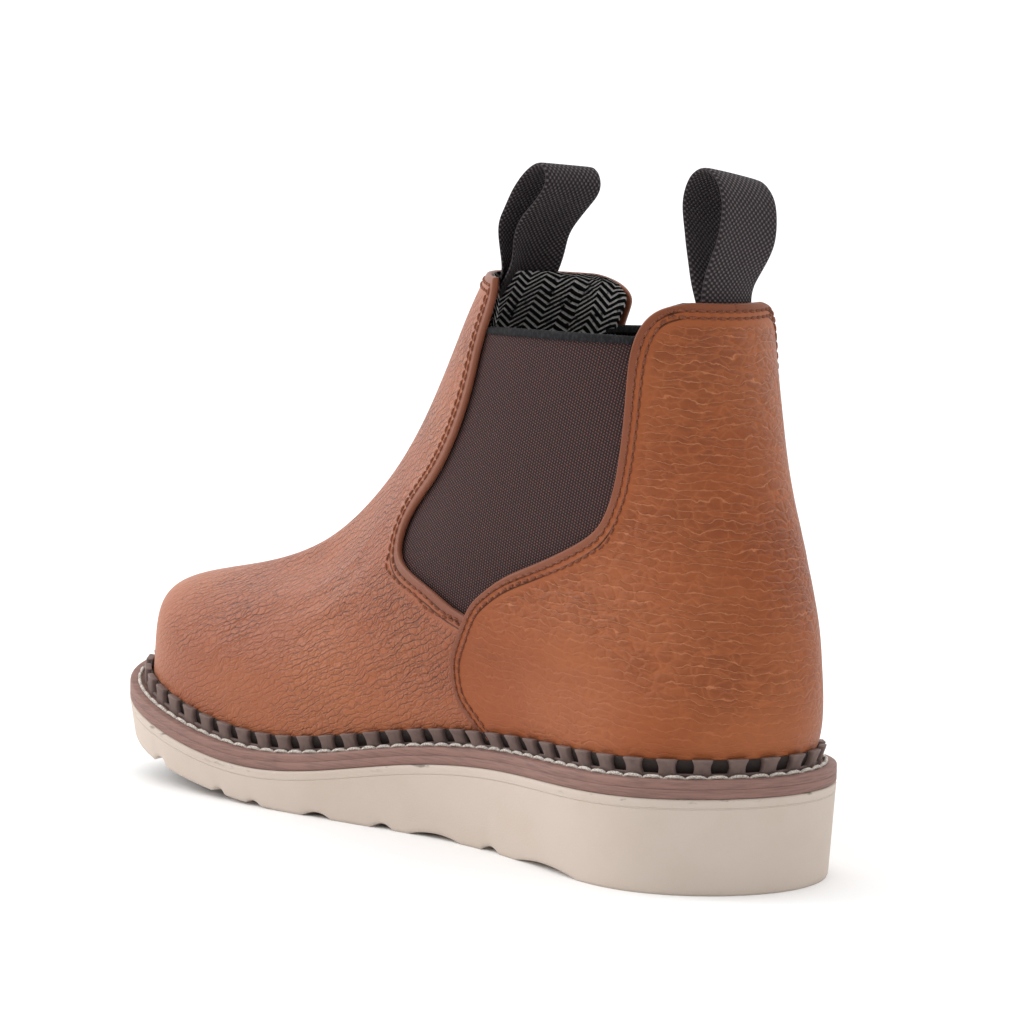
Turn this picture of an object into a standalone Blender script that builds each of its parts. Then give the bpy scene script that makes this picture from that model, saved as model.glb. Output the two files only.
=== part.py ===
"""Right wedge sole work boot, pull-on, with elastic side gores and two webbing pull loops.

Metres, +X towards the toe, +Y towards the boot's left side, +Z up. The origin lies on
the floor, under the middle of the boot's length and width.
"""
import bpy
import bmesh
import numpy as np

# sole sizes
SOLE_LENGTH = 0.305
BALL_WIDTH = 0.108
HEEL_WIDTH = 0.080
HEEL_THICKNESS = 0.0289
FOREFOOT_THICKNESS = 0.0125
TOE_SPRING = 0.0193
SIDE_TAPER = 0.0019
TREAD_DEPTH = 0.0030
MIDSOLE_THICKNESS = 0.0025
WELT_THICKNESS = 0.0025
WELT_MARGIN = 0.0075
INSOLE_THICKNESS = 0.0050

# storm welt teeth
TOOTH_PITCH = 0.0097
TOOTH_WIDTH = 0.0048
TOOTH_HEIGHT = 0.0056
TOOTH_THICKNESS = 0.0018
TOOTH_FLARE = 0.0006

# upper sizes, heights above the welt
SHAFT_HEIGHT = 0.1365
INSTEP_HEIGHT = 0.0756
SHAFT_WIDTH = 0.074
LEATHER = 0.0022
OVERLAP_STEP = 0.0015
OVERLAP_REACH = 0.035
GORE_THICKNESS = 0.0013
GORE_MARGIN = 0.006
GORE_HEIGHT = 0.1262

# webbing pull loops
WEBBING_WIDTH = 0.022
WEBBING_THICKNESS = 0.0016
BACK_LOOP_HEIGHT = 0.0398
BACK_LOOP_DEPTH = 0.0200
FRONT_LOOP_HEIGHT = 0.0358
FRONT_LOOP_LEAN = 0.0270

# clearances between neighbours
GAP = 0.0003
TOOTH_CLEARANCE = 0.0007
INSOLE_CLEARANCE = 0.0010

# how finely the curved pieces are divided
SOLE_STATIONS = 40
QUARTER_COLUMNS = 11
VAMP_COLUMNS = 12
UPPER_ROWS = 24
GORE_COLUMNS = 13
GORE_ROWS = 12
LOOP_STATIONS = 30
WEBBING_COLUMNS = 4
TREAD_SEGMENTS = 72
FINE_STATIONS = 720
SEAM_STEPS = 12
MERGE_DISTANCE = 1e-6
SHARP_ANGLE = np.radians(35)

# edge of the sole: the size that a station follows, and its shares to the left and the right
OUTLINE_COLUMNS = ("station", "size", "left", "right")
OUTLINE = (
    (0.090, HEEL_WIDTH, 0.499, 0.500),
    (0.330, HEEL_WIDTH, 0.435, 0.520),
    (0.590, BALL_WIDTH, 0.411, 0.519),
    (0.790, BALL_WIDTH, 0.462, 0.480),
    (0.933, BALL_WIDTH, 0.360, 0.300),
)
HEEL_ROUND = 0.484
TOE_ROUND = 0.439
TOE_SWING = 0.028

# top of the foam wedge: shares of the heel's extra thickness and of the toe spring
DECK_COLUMNS = ("station", "wedge", "spring")
DECK = (
    (0.00, 1.000, 0.000),
    (0.20, 0.902, 0.000),
    (0.45, 0.585, 0.000),
    (0.66, 0.000, 0.024),
    (0.85, 0.000, 0.415),
    (1.00, 0.000, 0.990),
)
SPRING_START = 0.610
SPRING_POWER = 1.8

# tread hollows across the bottom: shares of the length, and of the depth
TREAD_COLUMNS = ("middle", "length", "depth")
TREAD = (
    (0.220, 0.115, 0.60),
    (0.325, 0.031, 0.60),
    (0.412, 0.079, 0.55),
    (0.487, 0.031, 0.60),
    (0.577, 0.042, 0.60),
    (0.670, 0.024, 0.45),
    (0.725, 0.020, 0.60),
    (0.836, 0.026, 0.80),
    (0.945, 0.026, 0.80),
)

# rings of the last from the feather line up to the collar. Lengths are shares of SOLE_LENGTH,
# back heights of SHAFT_HEIGHT, front heights of INSTEP_HEIGHT and of what SHAFT_HEIGHT adds to it.
RING_COLUMNS = ("back_x", "back_z", "front_x", "instep", "above")
RINGS = (
    (0.026, 0.000, 0.974, 0.000, 0.000),
    (0.014, 0.070, 0.969, 0.107, 0.000),
    (0.007, 0.150, 0.963, 0.315, 0.000),
    (0.006, 0.230, 0.918, 0.417, 0.000),
    (0.012, 0.320, 0.803, 0.512, 0.000),
    (0.024, 0.415, 0.688, 0.680, 0.000),
    (0.039, 0.525, 0.582, 1.000, 0.000),
    (0.060, 0.670, 0.503, 1.000, 0.470),
    (0.080, 0.830, 0.444, 1.000, 0.867),
    (0.099, 1.000, 0.411, 1.000, 1.066),
)

# half widths of the same rings at four stations, left then right. The lower rings follow
# HEEL_WIDTH (heel, waist) and BALL_WIDTH (ball, toe), the upper ones SHAFT_WIDTH.
WIDTH_STATIONS = (0.15, 0.45, 0.72, 0.92)
FOOT_RINGS = 4
LEFT_WIDTHS = (
    (0.396, 0.361, 0.389, 0.337),
    (0.436, 0.411, 0.405, 0.340),
    (0.437, 0.430, 0.404, 0.328),
    (0.431, 0.462, 0.333, 0.247),
    (0.446, 0.520, 0.439, 0.204),
    (0.419, 0.514, 0.446, 0.226),
    (0.392, 0.490, 0.434, 0.232),
    (0.378, 0.467, 0.421, 0.234),
    (0.385, 0.470, 0.414, 0.233),
    (0.392, 0.477, 0.412, 0.218),
)
RIGHT_WIDTHS = (
    (0.406, 0.475, 0.463, 0.306),
    (0.437, 0.512, 0.472, 0.324),
    (0.444, 0.519, 0.431, 0.310),
    (0.436, 0.506, 0.352, 0.222),
    (0.458, 0.532, 0.453, 0.203),
    (0.426, 0.520, 0.453, 0.223),
    (0.392, 0.500, 0.441, 0.240),
    (0.378, 0.481, 0.420, 0.246),
    (0.381, 0.474, 0.402, 0.242),
    (0.388, 0.480, 0.394, 0.232),
)

# roundness of the rings' ends and their sideways swing: shares of HEEL_WIDTH, then of BALL_WIDTH
END_COLUMNS = ("back_round", "front_round", "swing")
END_ROUNDS = (
    (0.390, 0.370, 0.028),
    (0.410, 0.400, 0.028),
    (0.410, 0.380, 0.028),
    (0.410, 0.296, 0.028),
    (0.400, 0.204, 0.019),
    (0.375, 0.190, 0.014),
    (0.340, 0.190, 0.020),
    (0.315, 0.178, 0.038),
    (0.325, 0.168, 0.056),
    (0.340, 0.160, 0.072),
)

# how far up the last the sole's own edge and top line still steer the rings
EDGE_HOLD = 0.35
DECK_HOLD = 0.62
LEAN_LEVELS = (0.00, 0.03, 0.06, 0.09, 0.12, 0.15)

# side seam where the quarter laps over the vamp: shares of SOLE_LENGTH and of SHAFT_HEIGHT
LINE_COLUMNS = ("x", "z")
SEAM = (
    (0.349, 0.000),
    (0.366, 0.040),
    (0.379, 0.075),
    (0.385, 0.130),
    (0.381, 0.175),
    (0.369, 0.215),
    (0.355, 0.260),
    (0.345, 0.340),
    (0.330, 0.500),
    (0.290, 0.750),
    (0.260, 1.000),
)

# edge of the side opening, front edge down to its lowest point, then up the quarter's edge
OPENING = (
    (0.332, 1.300),
    (0.334, 1.030),
    (0.341, 0.965),
    (0.354, 0.912),
    (0.370, 0.802),
    (0.398, 0.667),
    (0.436, 0.560),
    (0.461, 0.505),
    (0.474, 0.445),
    (0.471, 0.398),
    (0.443, 0.355),
    (0.400, 0.318),
    (0.366, 0.285),
    (0.352, 0.276),
    (0.337, 0.310),
    (0.321, 0.339),
    (0.298, 0.371),
    (0.268, 0.400),
    (0.232, 0.432),
    (0.196, 0.470),
    (0.171, 0.510),
    (0.159, 0.560),
    (0.150, 0.663),
    (0.144, 0.810),
    (0.140, 0.905),
    (0.134, 0.952),
    (0.125, 0.985),
    (0.112, 1.006),
    (0.104, 1.300),
)

# free stretch of each pull loop, as seen from the side: share forward or rearward, share of the height
BACK_LOOP = (
    (-0.05, 0.20),
    (-0.22, 0.45),
    (-0.33, 0.68),
    (-0.26, 0.87),
    (-0.02, 0.98),
    (0.26, 0.97),
    (0.47, 0.86),
    (0.53, 0.67),
    (0.43, 0.44),
    (0.24, 0.21),
)
FRONT_LOOP = (
    (0.08, 0.30),
    (0.24, 0.58),
    (0.48, 0.82),
    (0.74, 0.96),
    (0.93, 0.97),
    (1.00, 0.86),
    (0.89, 0.73),
    (0.66, 0.59),
    (0.40, 0.38),
    (0.24, 0.18),
)
LOOP_TUCK = (0.925, 0.950, 0.975, 0.995)
LOOP_BOW = 1.25
LOOP_BOW_FADE = 0.55
# angle to each side of the collar's ends that the loops' legs are fitted to, and its steps
LOOP_SPREAD = 0.9
LOOP_SAMPLES = 61
# rise of the free webbing towards the inner side, and where the back loop is sewn
BACK_LOOP_TILT = 0.17
FRONT_LOOP_TILT = 0.06
BACK_LOOP_MIDDLE = -0.0022

# patch of the last that each gore is cut from: from and to, along a ring and up the last
GORE_STATIONS = (0.05, 0.90)
GORE_LEVELS = (0.28, 0.99)

# the widest that a tooth may be for its pitch
TOOTH_LIMIT = 0.8

# colours and finishes: red, green, blue, roughness
FOAM = (0.66, 0.61, 0.53, 0.85)
RUBBER_BROWN = (0.15, 0.10, 0.09, 0.60)
TAN_LEATHER = (0.45, 0.12, 0.04, 0.50)
ELASTIC = (0.06, 0.03, 0.025, 0.90)
WEBBING = (0.05, 0.04, 0.04, 0.85)
INSOLE_BLACK = (0.02, 0.02, 0.02, 0.90)

LEFT = 1
RIGHT = -1
TINY = 1e-4


def columns(names, rows):
    """Columns of a table by their names."""
    return {name: np.array([row[i] for row in rows]) for i, name in enumerate(names)}


def natural_spline(knots, values, at):
    """Natural cubic through the knots; values may have several columns."""
    knots = np.asarray(knots, float)
    values = np.asarray(values, float)
    at = np.asarray(at, float)
    count = len(knots)
    span = np.diff(knots)
    matrix = np.eye(count)
    right = np.zeros(values.shape)
    for i in range(1, count - 1):
        matrix[i, i - 1:i + 2] = span[i - 1], 2 * (span[i - 1] + span[i]), span[i]
        right[i] = 6 * ((values[i + 1] - values[i]) / span[i] - (values[i] - values[i - 1]) / span[i - 1])
    bend = np.linalg.solve(matrix, right)
    j = np.clip(np.searchsorted(knots, at, side="right") - 1, 0, count - 2)
    past = at - knots[j]
    width = span[j]
    if values.ndim > 1:
        past = past[..., None]
        width = width[..., None]
    slope = (values[j + 1] - values[j]) / width - width * (2 * bend[j] + bend[j + 1]) / 6
    return values[j] + past * slope + past ** 2 * bend[j] / 2 + past ** 3 * (bend[j + 1] - bend[j]) / (6 * width)


def ease(share):
    """Smooth step from 0 to 1."""
    share = np.clip(share, 0, 1)
    return share * share * (3 - 2 * share)


def station(theta):
    """Share of the length at an angle that runs from 0 at the heel to pi at the toe."""
    return (1 - np.cos(theta)) / 2


def rounded_width(theta, stations, halves, back_round, front_round, length):
    """Half width of a closed ring with round ends, through given half widths."""
    angles = np.arccos(1 - 2 * np.asarray(stations))
    knots = np.concatenate([[0], angles, [np.pi]])
    ends = np.sqrt(np.array([back_round, front_round]) * length / 2)
    fullness = np.concatenate([ends[:1], np.asarray(halves) / np.sin(angles), ends[1:]])
    return np.sin(theta) * natural_spline(knots, fullness, theta)


# sole

def sole_edge(theta, side):
    """Edge of the sole seen from above."""
    table = columns(OUTLINE_COLUMNS, OUTLINE)
    halves = table["size"] * table["left" if side == LEFT else "right"]
    half = rounded_width(theta, table["station"], halves,
                         HEEL_ROUND * HEEL_WIDTH, TOE_ROUND * BALL_WIDTH, SOLE_LENGTH)
    share = station(theta)
    return np.stack([share * SOLE_LENGTH, side * half + TOE_SWING * BALL_WIDTH * share ** 2], -1)


def inset_edge(theta, side, inset):
    """The sole's edge moved inwards."""
    tangent = sole_edge(theta + TINY, side) - sole_edge(theta - TINY, side)
    tangent /= np.linalg.norm(tangent, axis=-1, keepdims=True)
    outward = side * np.stack([-tangent[..., 1], tangent[..., 0]], -1)
    return sole_edge(theta, side) - outward * np.asarray(inset)[..., None]


def deck(x):
    """Height of the foam wedge's top at x."""
    table = columns(DECK_COLUMNS, DECK)
    wedge = (HEEL_THICKNESS - FOREFOOT_THICKNESS) * table["wedge"]
    heights = FOREFOOT_THICKNESS + wedge + TOE_SPRING * table["spring"]
    return natural_spline(table["station"] * SOLE_LENGTH, heights, x)


def ground(x):
    """Height of the sole's bottom at x, flat and then sprung at the toe."""
    share = np.clip((x / SOLE_LENGTH - SPRING_START) / (1 - SPRING_START), 0, 1)
    return TOE_SPRING * share ** SPRING_POWER


MIDSOLE_LEVEL = GAP
WELT_LEVEL = MIDSOLE_LEVEL + MIDSOLE_THICKNESS + GAP
UPPER_LEVEL = WELT_LEVEL + WELT_THICKNESS + GAP
INSOLE_LEVEL = WELT_LEVEL

ALONG = np.linspace(0, np.pi, SOLE_STATIONS + 1)
MIDDLE_Y = (sole_edge(ALONG, LEFT)[:, 1].max() + sole_edge(ALONG, RIGHT)[:, 1].min()) / 2


def around(point, theta):
    """Points of a closed ring: left side from back to front, right side back again."""
    left = point(theta, LEFT)
    right = point(theta, RIGHT)
    return np.concatenate([left, right[1:-1][::-1]])


def layer_ring(inset, height):
    """Ring of points at an inset from the sole's edge, at a height that follows x."""
    plan = around(lambda theta, side: inset_edge(theta, side, inset), ALONG)
    return np.column_stack([plan, height(plan[:, 0])])


# upper

def ring_rows(level):
    """One ring of the last at a level from 0 at the feather line to 1 at the collar."""
    ring = columns(RING_COLUMNS, RINGS)
    ends = columns(END_COLUMNS, END_ROUNDS)
    back_z = ring["back_z"] * SHAFT_HEIGHT + deck(0.0) + UPPER_LEVEL
    front_z = ring["instep"] * INSTEP_HEIGHT + ring["above"] * (SHAFT_HEIGHT - INSTEP_HEIGHT)
    front_z = front_z + deck(SOLE_LENGTH) + UPPER_LEVEL
    follows = np.full(np.shape(LEFT_WIDTHS), SHAFT_WIDTH)
    follows[:FOOT_RINGS] = (HEEL_WIDTH, HEEL_WIDTH, BALL_WIDTH, BALL_WIDTH)
    table = np.column_stack([ring["back_x"] * SOLE_LENGTH, back_z, ring["front_x"] * SOLE_LENGTH, front_z,
                             LEFT_WIDTHS * follows, RIGHT_WIDTHS * follows,
                             ends["back_round"] * HEEL_WIDTH, ends["front_round"] * BALL_WIDTH,
                             ends["swing"] * BALL_WIDTH])
    return natural_spline(np.linspace(0, 1, len(RINGS)), table, level)


def plain_ring(level, theta, side):
    """Points of a ring before the sole steers it."""
    row = ring_rows(level)
    back_x, back_z, front_x, front_z = row[:4]
    halves = row[4:8] if side == LEFT else row[8:12]
    back_round, front_round, swing = row[12:]
    length = np.hypot(front_x - back_x, front_z - back_z)
    half = rounded_width(theta, WIDTH_STATIONS, halves, back_round, front_round, length)
    share = station(theta)
    return np.stack([back_x + (front_x - back_x) * share, side * half + swing * share ** 2,
                     back_z + (front_z - back_z) * share], -1)


def last_point(level, theta, side):
    """Outer face of the upper: the rings, held to the sole's edge and top line low down."""
    theta = np.asarray(theta, float)
    point = plain_ring(level, theta, side)
    base = plain_ring(0.0, theta, side)
    feather = inset_edge(theta, side, WELT_MARGIN)
    point[..., :2] += (feather - base[..., :2]) * (1 - ease(level / EDGE_HOLD))
    floor = deck(feather[..., 0]) + UPPER_LEVEL
    point[..., 2] += (floor - base[..., 2]) * (1 - ease(level / DECK_HOLD))
    return point


def under_skin(level, theta, side, depth):
    """Point at a depth under the upper's outer face, square to it."""
    along = last_point(level, theta + TINY, side) - last_point(level, theta - TINY, side)
    up = last_point(level + TINY, theta, side) - last_point(level - TINY, theta, side)
    outward = np.cross(up, along) * side
    outward /= np.linalg.norm(outward, axis=-1, keepdims=True)
    return last_point(level, theta, side) - outward * np.asarray(depth)[..., None]


def seam_x(z):
    """Where the side seam lies at a height."""
    seam = columns(LINE_COLUMNS, SEAM)
    return np.interp(z, seam["z"] * SHAFT_HEIGHT + deck(0.0) + UPPER_LEVEL, seam["x"] * SOLE_LENGTH)


def seam_angle(level, side):
    """Angle of the side seam on a ring."""
    theta = np.pi / 2
    for _ in range(SEAM_STEPS):
        point = last_point(level, theta, side)
        row = ring_rows(level)
        reach = row[2] - row[0]
        theta = theta + 2 * (seam_x(point[2]) - point[0]) / (reach * np.sin(theta))
    return theta


def lap(point):
    """How far the quarter stands out where it laps over the vamp, fading to the back."""
    behind = seam_x(point[..., 2]) - point[..., 0]
    return OVERLAP_STEP * (1 - ease(behind / OVERLAP_REACH))


def upper_half_rows(level, side):
    """Outer and inner points of one side of a ring, from back to front, with the seam's step."""
    seam = seam_angle(level, side)
    quarter = np.linspace(0, seam, QUARTER_COLUMNS + 1)
    vamp = np.linspace(seam, np.pi, VAMP_COLUMNS + 1)
    theta = np.concatenate([quarter, vamp])
    rise = np.concatenate([lap(last_point(level, quarter, side)), np.zeros(len(vamp))])
    outer = under_skin(level, theta, side, -rise)
    inner = under_skin(level, theta, side, np.full(len(theta), LEATHER))
    if level == 0:
        plan = inset_edge(theta, side, WELT_MARGIN + LEATHER)
        inner = np.column_stack([plan, deck(plan[:, 0]) + UPPER_LEVEL])
        plan = inset_edge(theta, side, WELT_MARGIN - rise)
        outer = np.column_stack([plan, deck(plan[:, 0]) + UPPER_LEVEL])
    return outer, inner


# meshes and objects

def finish_mesh(name, points, faces, colour, collection):
    """A closed mesh object from points in the boot's frame; doubled points are joined."""
    points = np.asarray(points, float) - (SOLE_LENGTH / 2, MIDDLE_Y, 0)
    mesh = bpy.data.meshes.new(name)
    mesh.from_pydata([tuple(p) for p in points], [], [tuple(int(i) for i in f) for f in faces])
    work = bmesh.new()
    work.from_mesh(mesh)
    bmesh.ops.remove_doubles(work, verts=work.verts, dist=MERGE_DISTANCE)
    bmesh.ops.dissolve_degenerate(work, edges=work.edges, dist=MERGE_DISTANCE)
    bmesh.ops.triangulate(work, faces=work.faces)
    bmesh.ops.recalc_face_normals(work, faces=work.faces)
    work.to_mesh(mesh)
    work.free()
    mesh.validate()
    body = bpy.data.objects.new(name, mesh)
    collection.objects.link(body)
    if colour:
        mesh.materials.append(material(name, colour))
        mesh.shade_smooth()
        mesh.set_sharp_from_angle(angle=SHARP_ANGLE)
    return body


def material(name, colour):
    """Plain finish with a colour and a roughness."""
    made = bpy.data.materials.new(name)
    made.use_nodes = True
    shader = made.node_tree.nodes["Principled BSDF"]
    shader.inputs["Base Color"].default_value = (*colour[:3], 1)
    shader.inputs["Roughness"].default_value = colour[3]
    shader.inputs["Metallic"].default_value = 0.0
    return made


def loft(rings, closed_rows=False):
    """Faces between rings of equal length; each ring is closed on itself."""
    rings = np.asarray(rings)
    rows, count = rings.shape[:2]
    faces = []
    for i in range(rows if closed_rows else rows - 1):
        above = (i + 1) % rows
        for j in range(count):
            beside = (j + 1) % count
            faces.append((i * count + j, i * count + beside, above * count + beside, above * count + j))
    return rings.reshape(-1, 3), faces


def end_caps(rows, count):
    """Faces that close both ends of a flat tube, from its front points to its back points."""
    faces = []
    for start in (0, (rows - 1) * count):
        for j in range(count // 2 - 1):
            faces.append((start + j, start + j + 1, start + count - j - 2, start + count - j - 1))
    return faces


def slab(name, low, high, colour, collection):
    """Solid between two rings whose left and right points lie opposite each other."""
    count = len(low)
    half = count // 2
    points, faces = loft([low, high])
    for start in (0, count):
        for i in range(half):
            left_near, left_far = i, i + 1
            right_near, right_far = (count - i) % count, count - i - 1
            faces.append([start + k for k in dict.fromkeys((left_near, left_far, right_far, right_near))])
    return finish_mesh(name, points, faces, colour, collection)


def prism(name, outline, low_y, high_y, collection):
    """Cutter with an outline in the side view, from one y to another."""
    outline = np.asarray(outline)
    near = np.column_stack([outline[:, 0], np.full(len(outline), low_y), outline[:, 1]])
    far = near + (0, high_y - low_y, 0)
    points, faces = loft([near, far])
    count = len(outline)
    faces.append(list(range(count)))
    faces.append(list(range(count, 2 * count)))
    body = finish_mesh(name, points, faces, None, collection)
    body.hide_render = True
    body.display_type = "WIRE"
    return body


def cut(body, cutter, operation):
    """Boolean with the exact solver."""
    modifier = body.modifiers.new(cutter.name, "BOOLEAN")
    modifier.object = cutter
    modifier.operation = operation
    modifier.solver = "EXACT"


def make_outsole(parts, cutters):
    """Foam wedge with its tread hollows."""
    low = layer_ring(SIDE_TAPER, ground)
    high = layer_ring(0.0, deck)
    outsole = slab("outsole", low, high, FOAM, parts)
    table = columns(TREAD_COLUMNS, TREAD)
    halves = table["length"] * SOLE_LENGTH / 2
    depths = table["depth"] * TREAD_DEPTH
    for i, (x, half, deep) in enumerate(zip(table["middle"] * SOLE_LENGTH, halves, depths)):
        radius = (half ** 2 + deep ** 2) / (2 * deep)
        name = f"tread_{i}"
        mesh = bpy.data.meshes.new(name)
        work = bmesh.new()
        bmesh.ops.create_cone(work, cap_ends=True, segments=TREAD_SEGMENTS, radius1=radius,
                              radius2=radius, depth=2 * BALL_WIDTH)
        work.to_mesh(mesh)
        work.free()
        cutter = bpy.data.objects.new(name, mesh)
        cutters.objects.link(cutter)
        cutter.rotation_euler = (np.pi / 2, 0, 0)
        cutter.location = (x - SOLE_LENGTH / 2, 0, float(ground(x)) + deep - radius)
        cutter.hide_render = True
        cutter.display_type = "WIRE"
        cut(outsole, cutter, "DIFFERENCE")


def make_midsole(parts):
    """Rubber sheet between the foam and the welt."""
    low = layer_ring(0.0, lambda x: deck(x) + MIDSOLE_LEVEL)
    slab("midsole", low, low + (0, 0, MIDSOLE_THICKNESS), RUBBER_BROWN, parts)


def make_insole(parts):
    """Footbed inside the welt ring and the upper."""
    inset = WELT_MARGIN + LEATHER + INSOLE_CLEARANCE
    low = layer_ring(inset, lambda x: deck(x) + INSOLE_LEVEL)
    slab("insole", low, low + (0, 0, INSOLE_THICKNESS), INSOLE_BLACK, parts)


def tooth_angles():
    """Angles and sides of every tooth's two flanks, evenly spaced round the feather line."""
    fine = np.linspace(0, np.pi, FINE_STATIONS + 1)
    line = around(lambda theta, side: inset_edge(theta, side, WELT_MARGIN), fine)
    walked = np.concatenate([[0], np.cumsum(np.linalg.norm(np.diff(line, axis=0, append=line[:1]), axis=1))])
    turn = np.concatenate([fine, 2 * np.pi - fine[1:-1][::-1], [2 * np.pi]])
    count = int(round(walked[-1] / TOOTH_PITCH))
    pitch = walked[-1] / count
    share = min(TOOTH_WIDTH / TOOTH_PITCH, TOOTH_LIMIT) * pitch
    starts = (np.arange(count) + 0.5) * pitch - share / 2
    flanks = np.column_stack([starts, starts + share]).ravel()
    return np.interp(flanks, walked, turn)


def tooth_lean(theta, side, outward):
    """How far the upper's face stands out of the feather line at the teeth's tips."""
    wall = [last_point(level, theta, side) for level in LEAN_LEVELS]
    heights = [point[2] - wall[0][2] for point in wall]
    reach = [float(np.dot(point[:2] - wall[0][:2], outward)) for point in wall]
    return max(float(np.interp(TOOTH_HEIGHT, heights, reach)), 0.0)


def make_welt(parts):
    """Storm welt: a flat strip round the edge with a row of upright teeth against the upper."""
    turns = tooth_angles()
    sides = np.where(turns <= np.pi, LEFT, RIGHT)
    angles = np.where(turns <= np.pi, turns, 2 * np.pi - turns)
    rows = {"inner": [], "root": [], "face": [], "edge": [], "tip": []}
    for theta, side in zip(angles, sides):
        base = last_point(0.0, theta, side)
        outward = (inset_edge(theta, side, 0.0) - inset_edge(theta, side, WELT_MARGIN)) / WELT_MARGIN
        tip = base + (0, 0, TOOTH_HEIGHT)
        rise = float(lap(tip)) if tip[0] < seam_x(tip[2]) + TOOTH_WIDTH else 0.0
        root = WELT_MARGIN - rise - TOOTH_CLEARANCE
        rows["inner"].append(inset_edge(theta, side, WELT_MARGIN + LEATHER))
        rows["root"].append(inset_edge(theta, side, root))
        rows["face"].append(inset_edge(theta, side, root - TOOTH_THICKNESS))
        rows["edge"].append(inset_edge(theta, side, 0.0))
        rows["tip"].append(outward * tooth_lean(theta, side, outward))
    plan = {name: np.array(value) for name, value in rows.items()}

    def level(name, height):
        ring = plan[name]
        return np.column_stack([ring, deck(ring[:, 0]) + WELT_LEVEL + height])

    rings = [level("inner", 0.0), level("inner", WELT_THICKNESS), level("root", WELT_THICKNESS),
             level("face", WELT_THICKNESS), level("edge", WELT_THICKNESS), level("edge", 0.0)]
    points, faces = loft(rings, closed_rows=True)
    count = len(turns)
    points = list(points)
    root_row, face_row = 2 * count, 3 * count
    for start in range(0, count, 2):
        pair = (start, start + 1)
        corners = [root_row + pair[0], root_row + pair[1], face_row + pair[1], face_row + pair[0]]
        faces.remove(tuple(corners))
        along = points[corners[1]] - points[corners[0]]
        along = along / np.linalg.norm(along)
        tops = []
        for k, corner in enumerate(corners):
            column = pair[1] if k in (1, 2) else pair[0]
            flare = along * TOOTH_FLARE * (1 if k in (1, 2) else -1)
            lean = np.append(plan["tip"][column], TOOTH_HEIGHT)
            tops.append(len(points))
            points.append(points[corner] + flare + lean)
        faces.append(tuple(tops))
        for k in range(4):
            faces.append((corners[k], corners[(k + 1) % 4], tops[(k + 1) % 4], tops[k]))
    finish_mesh("welt", points, faces, RUBBER_BROWN, parts)


def opening_outline(margin=0.0):
    """The side opening in the side view, grown by a margin."""
    line = columns(LINE_COLUMNS, OPENING)
    base = deck(0.0) + UPPER_LEVEL
    edge = np.column_stack([line["x"] * SOLE_LENGTH, line["z"] * SHAFT_HEIGHT + base])
    tangent = np.gradient(edge, axis=0)
    tangent /= np.linalg.norm(tangent, axis=1, keepdims=True)
    return edge + np.column_stack([-tangent[:, 1], tangent[:, 0]]) * margin


def make_upper(parts, cutters):
    """Leather upper: one hollow shell, the quarter lapped over the vamp, open at both gores."""
    outer, inner = [], []
    for level in np.linspace(0, 1, UPPER_ROWS):
        left_outer, left_inner = upper_half_rows(level, LEFT)
        right_outer, right_inner = upper_half_rows(level, RIGHT)
        outer.append(np.concatenate([left_outer, right_outer[1:-1][::-1]]))
        inner.append(np.concatenate([left_inner, right_inner[1:-1][::-1]]))
    points, faces = loft(outer + inner[::-1], closed_rows=True)
    upper = finish_mesh("upper", points, faces, TAN_LEATHER, parts)
    cutter = prism("side_opening", opening_outline(), -BALL_WIDTH, BALL_WIDTH, cutters)
    cut(upper, cutter, "DIFFERENCE")


def make_gore(side, parts, cutters):
    """Elastic panel behind the side opening."""
    name = "gore_left" if side == LEFT else "gore_right"
    shallow = LEATHER + GAP
    theta = np.arccos(1 - 2 * np.linspace(*GORE_STATIONS, GORE_COLUMNS + 1))
    sheet = []
    for level in np.linspace(*GORE_LEVELS, GORE_ROWS + 1):
        depth = np.full(len(theta), shallow)
        front = under_skin(level, theta, side, depth)
        back = under_skin(level, theta, side, depth + GORE_THICKNESS)
        sheet.append(np.concatenate([front, back[::-1]]))
    points, faces = loft(sheet)
    faces += end_caps(len(sheet), len(sheet[0]))
    panel = finish_mesh(name, points, faces, ELASTIC, parts)
    top = deck(0.0) + UPPER_LEVEL + GORE_HEIGHT
    grown = opening_outline(GORE_MARGIN)
    grown = grown[grown[:, 1] < top]
    grown = np.concatenate([[(grown[0, 0], top)], grown, [(grown[-1, 0], top)]])
    low_y, high_y = sorted((0.0, side * BALL_WIDTH))
    cutter = prism(name + "_edge", grown, low_y, high_y, cutters)
    cut(panel, cutter, "INTERSECT")


def webbing_columns():
    """Places across the webbing, from its middle."""
    return np.linspace(-0.5, 0.5, WEBBING_COLUMNS + 1) * WEBBING_WIDTH


def collar_bow(theta, middle):
    """How the inside of the collar's end curves away in x, across a loop's strip."""
    turns = np.linspace(-LOOP_SPREAD, LOOP_SPREAD, LOOP_SAMPLES)
    depth = LEATHER + GAP + WEBBING_THICKNESS
    inside = np.array([under_skin(LOOP_TUCK[-1], abs(theta - abs(turn)), LEFT if turn > 0 else RIGHT, depth)
                       for turn in turns])
    end = under_skin(LOOP_TUCK[-1], theta, LEFT, depth)
    return LOOP_BOW * (np.interp(middle + webbing_columns(), inside[:, 1], inside[:, 0]) - end[0])


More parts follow.
